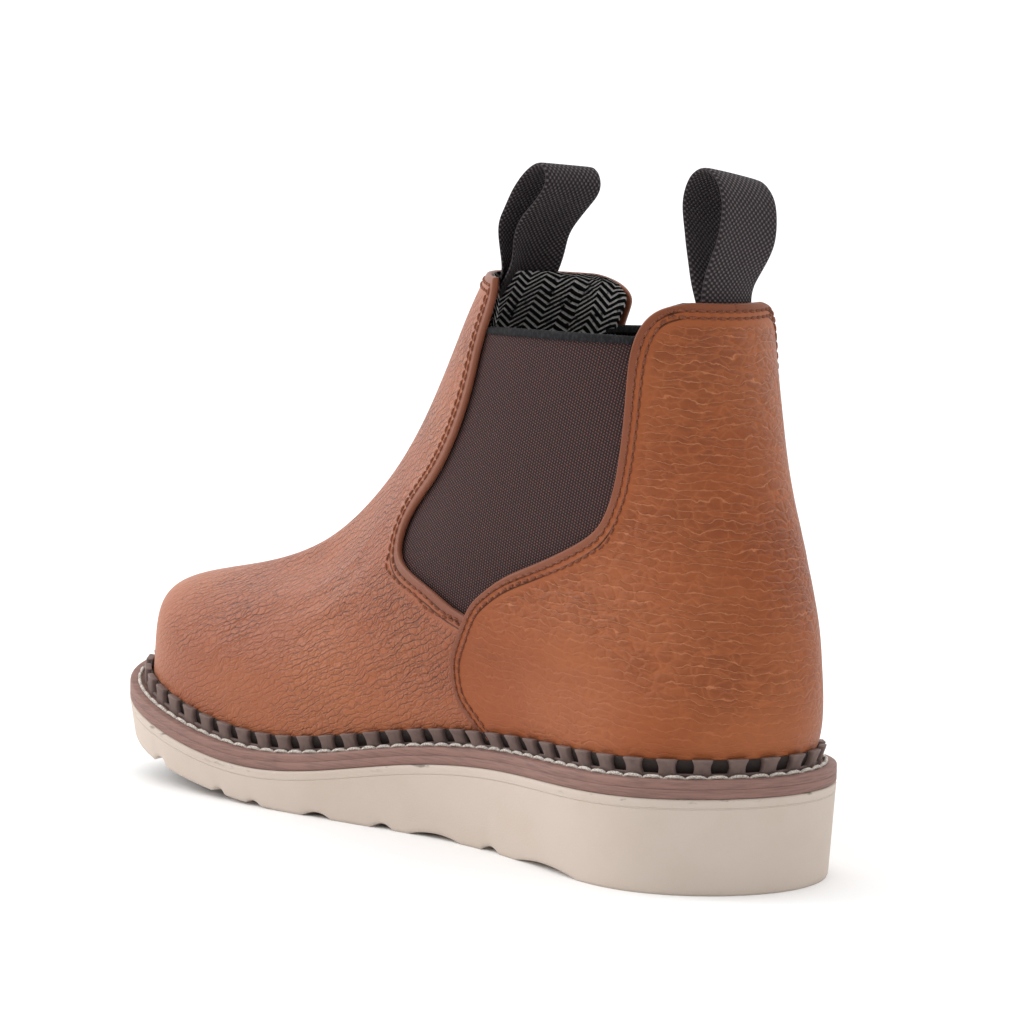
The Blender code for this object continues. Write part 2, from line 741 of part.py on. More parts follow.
def ribbon(name, path, bow, held, tilt, middle, collection):
    """Webbing of even width along a path in the side view, bowed low down and tilted above."""
    path = np.asarray(path)
    tangent = np.gradient(path, axis=0)
    tangent /= np.linalg.norm(tangent, axis=1, keepdims=True)
    normal = np.column_stack([-tangent[:, 1], tangent[:, 0]])
    across = webbing_columns()
    rings = []
    for spot, off, hold in zip(path, normal, held):
        lean = tilt * (1 - hold) * across
        ring = []
        for face, order in ((0.5, 1), (-0.5, -1)):
            at = spot + off * face * WEBBING_THICKNESS
            strip = np.column_stack([at[0] + hold * bow, middle + across, at[1] + lean])
            ring.append(strip[::order])
        rings.append(np.concatenate(ring))
    points, faces = loft(rings)
    faces += end_caps(len(rings), len(rings[0]))
    finish_mesh(name, points, faces, WEBBING, collection)


def loop_path(theta, free, depth_size, height_size, forward):
    """Both tucked legs of a pull loop and the free stretch between them, seen from the side."""
    outer_depth = LEATHER + GAP + WEBBING_THICKNESS / 2
    inner_depth = outer_depth + WEBBING_THICKNESS + GAP
    outer_leg = [under_skin(v, theta, LEFT, outer_depth)[[0, 2]] for v in LOOP_TUCK]
    inner_leg = [under_skin(v, theta, LEFT, inner_depth)[[0, 2]] for v in LOOP_TUCK]
    foot = (outer_leg[-1] + inner_leg[-1]) / 2
    rise = [foot + (forward * u * depth_size, h * height_size) for u, h in free]
    knots = np.array(outer_leg + rise + inner_leg[::-1])
    walked = np.concatenate([[0], np.cumsum(np.linalg.norm(np.diff(knots, axis=0), axis=1))])
    path = natural_spline(walked, knots, np.linspace(0, walked[-1], LOOP_STATIONS + 1))
    above = (path[:, 1] - foot[1]) / height_size
    return path, 1 - ease(above / LOOP_BOW_FADE)


def make_pull_loops(parts):
    """Webbing loops sewn in at the back and the front of the collar."""
    path, held = loop_path(0.0, BACK_LOOP, BACK_LOOP_DEPTH, BACK_LOOP_HEIGHT, 1)
    bow = collar_bow(0.0, BACK_LOOP_MIDDLE)
    ribbon("pull_loop_back", path, bow, held, BACK_LOOP_TILT, BACK_LOOP_MIDDLE, parts)
    path, held = loop_path(np.pi, FRONT_LOOP, FRONT_LOOP_LEAN, FRONT_LOOP_HEIGHT, -1)
    middle = ring_rows(1.0)[-1]
    ribbon("pull_loop_front", path, collar_bow(np.pi, middle), held, FRONT_LOOP_TILT, middle, parts)


def main():
    for old in list(bpy.data.objects):
        bpy.data.objects.remove(old, do_unlink=True)
    parts = bpy.data.collections.new("wedge_sole_work_boot")
    cutters = bpy.data.collections.new("cutters")
    for collection in (parts, cutters):
        bpy.context.scene.collection.children.link(collection)
    make_outsole(parts, cutters)
    make_midsole(parts)
    make_insole(parts)
    make_welt(parts)
    make_upper(parts, cutters)
    for side in (LEFT, RIGHT):
        make_gore(side, parts, cutters)
    make_pull_loops(parts)


main()
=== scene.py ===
"""Looks of the right wedge sole work boot: pebbled tan leather, elastic gores, webbing loops,
toothed storm welt with its lockstitch, brown midsole and off-white foam wedge.

Lengths are metres. The form functions work in the boot's own place, with x from the heel's
end and y from its middle line, and finished pieces are moved to the frame's origin.
"""
import math
import bpy
import numpy as np
from mathutils import Matrix, Vector
from mathutils.kdtree import KDTree


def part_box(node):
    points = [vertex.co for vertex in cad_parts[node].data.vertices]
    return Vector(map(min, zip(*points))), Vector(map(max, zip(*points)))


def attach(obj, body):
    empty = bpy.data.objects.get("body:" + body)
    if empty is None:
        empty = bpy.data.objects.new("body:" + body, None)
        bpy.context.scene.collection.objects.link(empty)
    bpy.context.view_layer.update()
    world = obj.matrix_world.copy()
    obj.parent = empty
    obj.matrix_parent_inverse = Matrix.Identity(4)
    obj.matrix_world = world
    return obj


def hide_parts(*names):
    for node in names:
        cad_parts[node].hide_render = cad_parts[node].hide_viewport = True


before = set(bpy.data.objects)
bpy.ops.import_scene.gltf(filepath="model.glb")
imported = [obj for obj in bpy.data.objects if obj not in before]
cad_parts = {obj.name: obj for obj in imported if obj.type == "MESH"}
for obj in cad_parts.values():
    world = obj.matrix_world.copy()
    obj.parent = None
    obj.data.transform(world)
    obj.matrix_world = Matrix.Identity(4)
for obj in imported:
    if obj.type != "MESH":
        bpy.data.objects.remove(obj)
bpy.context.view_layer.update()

MM = 0.001
LEFT = 1
RIGHT = -1
TINY = 1e-4

# sole, from the frame
SOLE_LOW, SOLE_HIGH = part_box("outsole")
SOLE_LENGTH = SOLE_HIGH.x - SOLE_LOW.x
BALL_WIDTH = SOLE_HIGH.y - SOLE_LOW.y
HEEL_WIDTH = 0.080
HEEL_THICKNESS = 0.0289
FOREFOOT_THICKNESS = 0.0125
TOE_SPRING = 0.0193
SIDE_TAPER = 0.0019
TREAD_DEPTH = 0.0030
MIDSOLE_THICKNESS = 0.0025
WELT_THICKNESS = 0.0025
WELT_MARGIN = 0.0075
INSOLE_THICKNESS = 0.0050
TOOTH_PITCH = 0.0097
TOOTH_WIDTH = 0.0048
TOOTH_HEIGHT = 0.0056
TOOTH_THICKNESS = 0.0018
GAP = 0.0003
TOOTH_CLEARANCE = 0.0007

# upper
SHAFT_HEIGHT = 0.1365
INSTEP_HEIGHT = 0.0756
SHAFT_WIDTH = 0.074
LEATHER = 0.0022
OVERLAP_STEP = 0.0015
OVERLAP_REACH = 0.035
GORE_THICKNESS = 0.0013
GORE_MARGIN = 0.006
GORE_HEIGHT = 0.1262
WEBBING_WIDTH = 0.022
WEBBING_THICKNESS = 0.0016

OUTLINE_COLUMNS = ("station", "size", "left", "right")
OUTLINE = (
    (0.090, HEEL_WIDTH, 0.499, 0.500),
    (0.330, HEEL_WIDTH, 0.435, 0.520),
    (0.590, BALL_WIDTH, 0.411, 0.519),
    (0.790, BALL_WIDTH, 0.462, 0.480),
    (0.933, BALL_WIDTH, 0.360, 0.300),
)
HEEL_ROUND = 0.484
TOE_ROUND = 0.439
TOE_SWING = 0.028
DECK_COLUMNS = ("station", "wedge", "spring")
DECK = (
    (0.00, 1.000, 0.000),
    (0.20, 0.902, 0.000),
    (0.45, 0.585, 0.000),
    (0.66, 0.000, 0.024),
    (0.85, 0.000, 0.415),
    (1.00, 0.000, 0.990),
)
SPRING_START = 0.610
SPRING_POWER = 1.8
TREAD = (
    (0.220, 0.115, 0.60),
    (0.325, 0.031, 0.60),
    (0.412, 0.079, 0.55),
    (0.487, 0.031, 0.60),
    (0.577, 0.042, 0.60),
    (0.670, 0.024, 0.45),
    (0.725, 0.020, 0.60),
    (0.836, 0.026, 0.80),
    (0.945, 0.026, 0.80),
)
RING_COLUMNS = ("back_x", "back_z", "front_x", "instep", "above")
RINGS = (
    (0.026, 0.000, 0.974, 0.000, 0.000),
    (0.014, 0.070, 0.969, 0.107, 0.000),
    (0.007, 0.150, 0.963, 0.315, 0.000),
    (0.006, 0.230, 0.918, 0.417, 0.000),
    (0.012, 0.320, 0.803, 0.512, 0.000),
    (0.024, 0.415, 0.688, 0.680, 0.000),
    (0.039, 0.525, 0.582, 1.000, 0.000),
    (0.060, 0.670, 0.503, 1.000, 0.470),
    (0.080, 0.830, 0.444, 1.000, 0.867),
    (0.099, 1.000, 0.411, 1.000, 1.066),
)
WIDTH_STATIONS = (0.15, 0.45, 0.72, 0.92)
FOOT_RINGS = 4
LEFT_WIDTHS = (
    (0.396, 0.361, 0.389, 0.337),
    (0.436, 0.411, 0.405, 0.340),
    (0.437, 0.430, 0.404, 0.328),
    (0.431, 0.462, 0.333, 0.247),
    (0.446, 0.520, 0.439, 0.204),
    (0.419, 0.514, 0.446, 0.226),
    (0.392, 0.490, 0.434, 0.232),
    (0.378, 0.467, 0.421, 0.234),
    (0.385, 0.470, 0.414, 0.233),
    (0.392, 0.477, 0.412, 0.218),
)
RIGHT_WIDTHS = (
    (0.406, 0.475, 0.463, 0.306),
    (0.437, 0.512, 0.472, 0.324),
    (0.444, 0.519, 0.431, 0.310),
    (0.436, 0.506, 0.352, 0.222),
    (0.458, 0.532, 0.453, 0.203),
    (0.426, 0.520, 0.453, 0.223),
    (0.392, 0.500, 0.441, 0.240),
    (0.378, 0.481, 0.420, 0.246),
    (0.381, 0.474, 0.402, 0.242),
    (0.388, 0.480, 0.394, 0.232),
)
END_COLUMNS = ("back_round", "front_round", "swing")
END_ROUNDS = (
    (0.390, 0.370, 0.028),
    (0.410, 0.400, 0.028),
    (0.410, 0.380, 0.028),
    (0.410, 0.296, 0.028),
    (0.400, 0.204, 0.019),
    (0.375, 0.190, 0.014),
    (0.340, 0.190, 0.020),
    (0.315, 0.178, 0.038),
    (0.325, 0.168, 0.056),
    (0.340, 0.160, 0.072),
)
EDGE_HOLD = 0.35
DECK_HOLD = 0.62
GORE_LOW = 0.276

# panel edges in the side view, shares of SOLE_LENGTH and SHAFT_HEIGHT, from the sole up
SEAM_EDGE = (
    (0.349, 0.000),
    (0.366, 0.040),
    (0.379, 0.075),
    (0.385, 0.130),
    (0.381, 0.175),
    (0.369, 0.215),
    (0.357, 0.250),
)
QUARTER_GORE_EDGE = (
    (0.347, 0.282),
    (0.337, 0.310),
    (0.321, 0.339),
    (0.298, 0.371),
    (0.268, 0.400),
    (0.232, 0.432),
    (0.196, 0.470),
    (0.171, 0.510),
    (0.159, 0.560),
    (0.150, 0.663),
    (0.144, 0.810),
    (0.140, 0.905),
    (0.134, 0.952),
    (0.124, 0.985),
    (0.106, 1.004),
)
VAMP_GORE_EDGE = (
    (0.330, 0.000),
    (0.338, 0.080),
    (0.338, 0.160),
    (0.333, 0.225),
    (0.341, 0.262),
    (0.366, 0.285),
    (0.400, 0.318),
    (0.443, 0.355),
    (0.471, 0.398),
    (0.474, 0.445),
    (0.461, 0.505),
    (0.436, 0.560),
    (0.398, 0.667),
    (0.370, 0.802),
    (0.354, 0.912),
    (0.341, 0.968),
    (0.335, 1.020),
    (0.337, 1.045),
)

# camera solved from the photograph
CAMERA_AZIMUTH = math.radians(39.704)
CAMERA_ELEVATION = math.radians(5.6)
CAMERA_ROLL = math.radians(1.027)
CAMERA_DISTANCE = 1.18677
CAMERA_TARGET = np.array((0.1311, 0.0, 0.10064))
CAMERA_LENS = 131.63
SENSOR = 36.0


def columns(names, rows):
    """Columns of a table by their names."""
    return {name: np.array([row[i] for row in rows]) for i, name in enumerate(names)}


def natural_spline(knots, values, at):
    """Natural cubic through the knots; values may have several columns."""
    knots = np.asarray(knots, float)
    values = np.asarray(values, float)
    at = np.asarray(at, float)
    count = len(knots)
    span = np.diff(knots)
    matrix = np.eye(count)
    right = np.zeros(values.shape)
    for i in range(1, count - 1):
        matrix[i, i - 1:i + 2] = span[i - 1], 2 * (span[i - 1] + span[i]), span[i]
        right[i] = 6 * ((values[i + 1] - values[i]) / span[i] - (values[i] - values[i - 1]) / span[i - 1])
    bend = np.linalg.solve(matrix, right)
    j = np.clip(np.searchsorted(knots, at, side="right") - 1, 0, count - 2)
    past = at - knots[j]
    width = span[j]
    if values.ndim > 1:
        past = past[..., None]
        width = width[..., None]
    slope = (values[j + 1] - values[j]) / width - width * (2 * bend[j] + bend[j + 1]) / 6
    cubic = (bend[j + 1] - bend[j]) / (6 * width)
    return values[j] + past * slope + past ** 2 * bend[j] / 2 + past ** 3 * cubic


def curve_through(points, count):
    """Smooth curve through points, evenly divided."""
    points = np.asarray(points, float)
    walked = walk(points)
    return natural_spline(walked, points, np.linspace(0, walked[-1], count))


def walk(points):
    """Distance walked along a line of points."""
    steps = np.linalg.norm(np.diff(points, axis=0), axis=1)
    return np.concatenate([[0], np.cumsum(steps)])


def ease(share):
    """Smooth step from 0 to 1."""
    share = np.clip(share, 0, 1)
    return share * share * (3 - 2 * share)


def unit(vectors):
    """Vectors of length one."""
    return vectors / np.maximum(np.linalg.norm(vectors, axis=-1, keepdims=True), 1e-12)


def station(theta):
    """Share of the length at an angle that runs from 0 at the heel to pi at the toe."""
    return (1 - np.cos(theta)) / 2


def rounded_width(theta, stations, halves, back_round, front_round, length):
    """Half width of a closed ring with round ends, through given half widths."""
    angles = np.arccos(1 - 2 * np.asarray(stations))
    knots = np.concatenate([[0], angles, [np.pi]])
    ends = np.sqrt(np.array([back_round, front_round]) * length / 2)
    fullness = np.concatenate([ends[:1], np.asarray(halves) / np.sin(angles), ends[1:]])
    return np.sin(theta) * natural_spline(knots, fullness, theta)


def sole_edge(theta, side):
    """Edge of the sole seen from above."""
    table = columns(OUTLINE_COLUMNS, OUTLINE)
    halves = table["size"] * table["left" if side == LEFT else "right"]
    half = rounded_width(theta, table["station"], halves,
                         HEEL_ROUND * HEEL_WIDTH, TOE_ROUND * BALL_WIDTH, SOLE_LENGTH)
    share = station(theta)
    return np.stack([share * SOLE_LENGTH, side * half + TOE_SWING * BALL_WIDTH * share ** 2], -1)


def edge_outward(theta, side):
    """Outward direction of the sole's edge seen from above."""
    tangent = unit(sole_edge(theta + TINY, side) - sole_edge(theta - TINY, side))
    return side * np.stack([-tangent[..., 1], tangent[..., 0]], -1)


def inset_edge(theta, side, inset):
    """The sole's edge moved inwards."""
    return sole_edge(theta, side) - edge_outward(theta, side) * np.asarray(inset)[..., None]


def deck(x):
    """Height of the foam wedge's top at x."""
    table = columns(DECK_COLUMNS, DECK)
    wedge = (HEEL_THICKNESS - FOREFOOT_THICKNESS) * table["wedge"]
    heights = FOREFOOT_THICKNESS + wedge + TOE_SPRING * table["spring"]
    return natural_spline(table["station"] * SOLE_LENGTH, heights, x)


def ground(x):
    """Height of the sole's bottom at x, flat and then sprung at the toe."""
    share = np.clip((x / SOLE_LENGTH - SPRING_START) / (1 - SPRING_START), 0, 1)
    return TOE_SPRING * share ** SPRING_POWER


MIDSOLE_LEVEL = GAP
WELT_LEVEL = MIDSOLE_LEVEL + MIDSOLE_THICKNESS + GAP
UPPER_LEVEL = WELT_LEVEL + WELT_THICKNESS + GAP
FEATHER_BACK = float(deck(0.0)) + UPPER_LEVEL
FEATHER_FRONT = float(deck(SOLE_LENGTH)) + UPPER_LEVEL
EVEN = np.linspace(0, np.pi, 721)
MIDDLE_Y = (sole_edge(EVEN, LEFT)[:, 1].max() + sole_edge(EVEN, RIGHT)[:, 1].min()) / 2
ORIGIN = np.array((SOLE_LENGTH / 2, MIDDLE_Y, 0.0))


def ring_table():
    """Every size of the rings, a row for each ring."""
    ring = columns(RING_COLUMNS, RINGS)
    ends = columns(END_COLUMNS, END_ROUNDS)
    back_z = ring["back_z"] * SHAFT_HEIGHT + FEATHER_BACK
    front_z = ring["instep"] * INSTEP_HEIGHT + ring["above"] * (SHAFT_HEIGHT - INSTEP_HEIGHT) + FEATHER_FRONT
    follows = np.full(np.shape(LEFT_WIDTHS), SHAFT_WIDTH)
    follows[:FOOT_RINGS] = (HEEL_WIDTH, HEEL_WIDTH, BALL_WIDTH, BALL_WIDTH)
    return np.column_stack([ring["back_x"] * SOLE_LENGTH, back_z, ring["front_x"] * SOLE_LENGTH, front_z,
                            LEFT_WIDTHS * follows, RIGHT_WIDTHS * follows,
                            ends["back_round"] * HEEL_WIDTH, ends["front_round"] * BALL_WIDTH,
                            ends["swing"] * BALL_WIDTH])


RING_TABLE = ring_table()
RING_LEVELS = np.linspace(0, 1, len(RINGS))


def plain_ring(level, theta, side):
    """Points of a ring before the sole steers it."""
    row = natural_spline(RING_LEVELS, RING_TABLE, level)
    back_x, back_z, front_x, front_z = row[:4]
    halves = row[4:8] if side == LEFT else row[8:12]
    back_round, front_round, swing = row[12:]
    length = np.hypot(front_x - back_x, front_z - back_z)
    half = rounded_width(theta, WIDTH_STATIONS, halves, back_round, front_round, length)
    share = station(theta)
    return np.stack([back_x + (front_x - back_x) * share, side * half + swing * share ** 2,
                     back_z + (front_z - back_z) * share], -1)


def last_point(level, theta, side):
    """Outer face of the upper: the rings, held to the sole's edge and top line low down."""
    theta = np.asarray(theta, float)
    point = plain_ring(level, theta, side)
    base = plain_ring(0.0, theta, side)
    feather = inset_edge(theta, side, WELT_MARGIN)
    point[..., :2] += (feather - base[..., :2]) * (1 - ease(level / EDGE_HOLD))
    floor = deck(feather[..., 0]) + UPPER_LEVEL
    point[..., 2] += (floor - base[..., 2]) * (1 - ease(level / DECK_HOLD))
    return point


HALF_RING = np.linspace(0, np.pi, 261)
RING_CACHE = {}


def half_ring(level, side):
    """Points, outward directions and distance walked along one side of a ring, back to front."""
    key = (round(float(level), 7), side)
    if key not in RING_CACHE:
        here = last_point(level, HALF_RING, side)
        along = last_point(level, HALF_RING + TINY, side) - last_point(level, HALF_RING - TINY, side)
        up = last_point(level + TINY, HALF_RING, side) - last_point(level - TINY, HALF_RING, side)
        RING_CACHE[key] = (here, unit(np.cross(up, along) * side), walk(here))
    return RING_CACHE[key]


def under_skin(level, theta, side, depth):
    """Point at a depth under the upper's outer face, square to it."""
    points, outward, _ = half_ring(level, side)
    at = np.stack([np.interp(theta, HALF_RING, points[:, k]) for k in range(3)], -1)
    out = unit(np.stack([np.interp(theta, HALF_RING, outward[:, k]) for k in range(3)], -1))
    return at - out * np.asarray(depth)[..., None]


def side_line(*tables):
    """A panel's edge in the side view: a smooth line that only climbs, as heights and x."""
    rows = np.array([row for table in tables for row in table])
    rough = rows * (SOLE_LENGTH, SHAFT_HEIGHT) + (0, FEATHER_BACK)
    line = curve_through(rough, 600)
    heights = np.maximum.accumulate(line[:, 1] + np.linspace(0, 1e-7, len(line)))
    return heights, line[:, 0]


SEAM_LINE = side_line(SEAM_EDGE, QUARTER_GORE_EDGE[:1])
QUARTER_LINE = side_line(SEAM_EDGE, QUARTER_GORE_EDGE)
VAMP_GORE_LINE = side_line(VAMP_GORE_EDGE)
GORE_LOW_Z = GORE_LOW * SHAFT_HEIGHT + FEATHER_BACK


def quarter_x(z):
    """Front edge of the quarter at a height."""
    return np.interp(z, *QUARTER_LINE)


def vamp_x(z):
    """Rear edge of the vamp at a height; below the gore it runs hidden under the quarter."""
    return np.interp(z, *VAMP_GORE_LINE)


def lap(point):
    """How far the quarter stands out where it laps over the vamp, fading to the back."""
    seam = np.interp(point[..., 2], *SEAM_LINE)
    low = 1 - ease((point[..., 2] - GORE_LOW_Z) / (2 * OVERLAP_REACH))
    return OVERLAP_STEP * (1 - ease((seam - point[..., 0]) / OVERLAP_REACH)) * low


# shader kit

class Value:
    """A shader socket that arithmetic is written with."""

    def __init__(self, finish, socket):
        self.finish = finish
        self.socket = socket

    def math(self, operation, *others):
        return self.finish.node("Math", {"operation": operation}, dict(enumerate((self, *others))))

    def __add__(self, other):
        return self.math("ADD", other)

    def __sub__(self, other):
        return self.math("SUBTRACT", other)

    def __rsub__(self, other):
        return self.math("MULTIPLY_ADD", -1.0, other)

    def __mul__(self, other):
        return self.math("MULTIPLY", other)

    __radd__ = __add__
    __rmul__ = __mul__

    def wave(self):
        return self.math("SINE")

    def top(self, other):
        return self.math("MAXIMUM", other)

    def size(self):
        return self.math("ABSOLUTE")

    def rise(self, low, high):
        """Smooth step from 0 at low to 1 at high."""
        inputs = {"Value": self, "From Min": low, "From Max": high}
        return self.finish.node("MapRange", {"interpolation_type": "SMOOTHSTEP"}, inputs)

    def bell(self, middle, width):
        """1 at the middle, falling to 0 at a width away."""
        return 1 - (self - middle).size().rise(0.0, width)


class Nodes:
    """A node tree that is built node by node."""

    def __init__(self, owner, shader):
        owner.use_nodes = True
        self.tree = owner.node_tree
        self.shader = self.tree.nodes[shader]

    def node(self, kind, settings=None, inputs=None, output=0):
        """Any node: its type, its settings, then the values or links of its sockets."""
        made = self.tree.nodes.new("ShaderNode" + kind)
        for name, value in (settings or {}).items():
            setattr(made, name, value)
        for name, value in (inputs or {}).items():
            self.feed(made.inputs[name], value)
        return Value(self, made.outputs[output])

    def feed(self, socket, value):
        """A value or a link into a socket."""
        if isinstance(value, Value):
            self.tree.links.new(value.socket, socket)
        else:
            socket.default_value = value

    def along(self, vector, direction):
        """How far a vector reaches in a direction."""
        return self.node("VectorMath", {"operation": "DOT_PRODUCT"}, {0: vector, 1: direction}, "Value")


class Finish(Nodes):
    """A procedural material."""

    def __init__(self, name):
        self.material = bpy.data.materials.new(name)
        super().__init__(self.material, "Principled BSDF")

    def place(self):
        """Where a point lies on the boot, in metres."""
        return self.node("TexCoord", output="Object")

    def stretched(self, vector, scale):
        return self.node("VectorMath", {"operation": "MULTIPLY"}, {0: vector, 1: scale})

    def shifted(self, vector, by):
        return self.node("VectorMath", {"operation": "ADD"}, {0: vector, 1: by})

    def painted(self, name):
        """A value kept on the mesh's points."""
        return self.node("Attribute", {"attribute_name": name}, output="Fac")

    def noise(self, vector, scale, detail=2.0, rough=0.5, output=0):
        inputs = {"Vector": vector, "Scale": scale, "Detail": detail, "Roughness": rough}
        return self.node("TexNoise", inputs=inputs, output=output)

    def warped(self, vector, scale, amount):
        """Places pushed about by a noise, so that what is drawn there isn't regular."""
        push = self.noise(vector, scale, output="Color")
        push = self.node("VectorMath", {"operation": "SUBTRACT"}, {0: push, 1: (0.5, 0.5, 0.5)})
        push = self.node("VectorMath", {"operation": "SCALE"}, {0: push, "Scale": amount})
        return self.shifted(vector, push)

    def cells(self, vector, scale, feature="DISTANCE_TO_EDGE"):
        return self.node("TexVoronoi", {"feature": feature}, {"Vector": vector, "Scale": scale})

    def mixed(self, factor, first, second):
        """One colour over another."""
        inputs = {0: factor, 6: rgba(first), 7: rgba(second)}
        return self.node("Mix", {"data_type": "RGBA"}, inputs, 2)

    def surface(self, colour, rough, height=None, **constants):
        """Feeds the shader; height is in metres."""
        self.feed(self.shader.inputs["Base Color"], rgba(colour))
        self.feed(self.shader.inputs["Roughness"], rough)
        if height is not None:
            bump = self.node("Bump", inputs={"Height": height, "Distance": 1.0, "Strength": 1.0})
            self.feed(self.shader.inputs["Normal"], bump)
        for name, value in constants.items():
            self.shader.inputs[name.replace("_", " ")].default_value = value
        return self.material


def rgba(colour):
    """A colour with its alpha, or the link that gives one."""
    return colour if isinstance(colour, Value) else (*colour[:3], 1.0)


# finishes

TAN = (0.285, 0.072, 0.020)
TAN_LIGHT = (0.345, 0.102, 0.033)
# painted shade: dark colour of the vamp's crease lines
TAN_CREASE_SHADE = (0.085, 0.020, 0.009)
# darker tone of random patches, and also the painted shade on the pebbles
TAN_DEEP_AND_PEBBLE_SHADE = (0.150, 0.034, 0.010)
TAN_EDGE = (0.120, 0.040, 0.025)
# painted shade in the stitch grooves
STITCH_GROOVE_SHADE = (0.024, 0.008, 0.006)
# painted highlight: light colour of the quarter's crease lines
TAN_CREASE_HIGHLIGHT = (0.500, 0.190, 0.085)
THREAD_BROWN = (0.235, 0.070, 0.032)
RUBBER_BROWN = (0.265, 0.146, 0.120)
RUBBER_DARK = (0.130, 0.078, 0.066)
RUBBER_GREY = (0.180, 0.122, 0.108)
RUBBER_SHADE = (0.110, 0.076, 0.068)
# painted shade: near-black for the wall that stands in the gaps between the teeth
RECESS_SHADE = (0.020, 0.013, 0.011)
FOAM_CREAM = (0.575, 0.490, 0.425)
FOAM_SHADE = (0.520, 0.430, 0.355)
FOAM_STAIN = (0.120, 0.085, 0.065)
THREAD_WHITE = (0.680, 0.620, 0.560)
ELASTIC_DARK = (0.026, 0.015, 0.015)
ELASTIC_BROWN = (0.130, 0.072, 0.066)
ELASTIC_RED = (0.220, 0.070, 0.052)
WEBBING_DARK = (0.014, 0.011, 0.012)
WEBBING_BROWN = (0.062, 0.048, 0.052)
WEBBING_LIGHT = (0.170, 0.140, 0.142)
KNIT_BLACK = (0.008, 0.008, 0.009)
KNIT_WHITE = (0.780, 0.760, 0.730)
FOOTBED_BLACK = (0.022, 0.021, 0.022)
LINING_BLACK = (0.016, 0.015, 0.016)
EDGING_BLACK = (0.010, 0.010, 0.011)
FLOOR_WHITE = (0.92, 0.92, 0.92)

# rows of stitches, in millimetres from a panel's edge
FIRST_ROW = 2.7
SECOND_ROW = 4.8

# grain of the leather: a pebble's length, width and height, and a furrow's spacing, in metres
# the crease colour is painted light along the crease lines: a painted highlight on the quarter, a painted
# shade on the vamp
QUARTER_GRAIN = {"pebble": (0.0052, 0.0052, 0.0025), "painted_pebble_shade": 0.50, "net": 0.22, "furrow": 0.0026,
                 "painted_crease": TAN_CREASE_HIGHLIGHT, "crease_strength": 0.62, "relief": 0.00058, "turn": 5, "shine": 0.24}
VAMP_GRAIN = {"pebble": (0.0029, 0.0026, 0.0019), "painted_pebble_shade": 0.0, "net": 0.60, "furrow": 0.0020,
              "painted_crease": TAN_CREASE_SHADE, "crease_strength": 1.00, "relief": 0.00066, "turn": -24, "shine": 0.40}
PEBBLE_SHARE = 0.38
FINE_PEBBLE_SHARE = 0.14
FURROW_SHARE = 0.48
FINE_PEBBLES = 2.1
FINE_SHIFT = (0.3, 0.1, 0.2)
FURROW_SPREAD = (4.4, 4.4, 2.6)
FURROW_BREAKS = (3.6, 3.6, 1.1)
FURROW_WANDER = 6.0
PATCHES = (30.0, 30.0, 44.0)
PORE_DEPTH = 0.00003
GROOVE_WIDTH = 0.0004
GROOVE_DEPTH = 0.00042
PUFF_HEIGHT = 0.00022
PUFF_MIDDLE = 0.00375
PUFF_WIDTH = 0.0013
FOLD_MIDDLE = 0.0013
FOLD_WIDTH = 0.0012
FOLD_START = 0.0022
FOLD_END = 0.0030
GRAIN_START = 0.0052
GRAIN_FULL = 0.0085

# streaks in the rubber, how fine along x, y and z
MIDSOLE_STREAK = (110.0, 110.0, 2300.0)
WELT_STREAK = (120.0, 120.0, 2100.0)
TEETH_STREAK = (300.0, 300.0, 300.0)

# scuffs and the mould line near the foam's top edge
SCUFF_STRETCH = (120.0, 120.0, 420.0)
SCUFF_FULL = 0.0004
SCUFF_END = 0.0022
MOULD_LINE_DROP = 0.0028
MOULD_LINE_WIDTH = 0.0004
MOULD_LINE_DEPTH = 0.00020

# threads, weaves and knits
TWIST = (2200.0, 2200.0, 3400.0)
ELASTIC_PITCH = 0.00105
ELASTIC_DEPTH = 0.00028
WEBBING_PITCH = 0.0017
WEBBING_DEPTH = 0.00038
CHEVRON_LENGTH = 0.0095
CHEVRON_SLOPE = 0.85
KNIT_ROW = 0.0023
KNIT_FUZZ = 0.8
FOOTBED_RIB = (1400.0, 1400.0, 200.0)
LINING_RIB = (300.0, 300.0, 1500.0)
EDGING_RIB = (1500.0, 1500.0, 500.0)


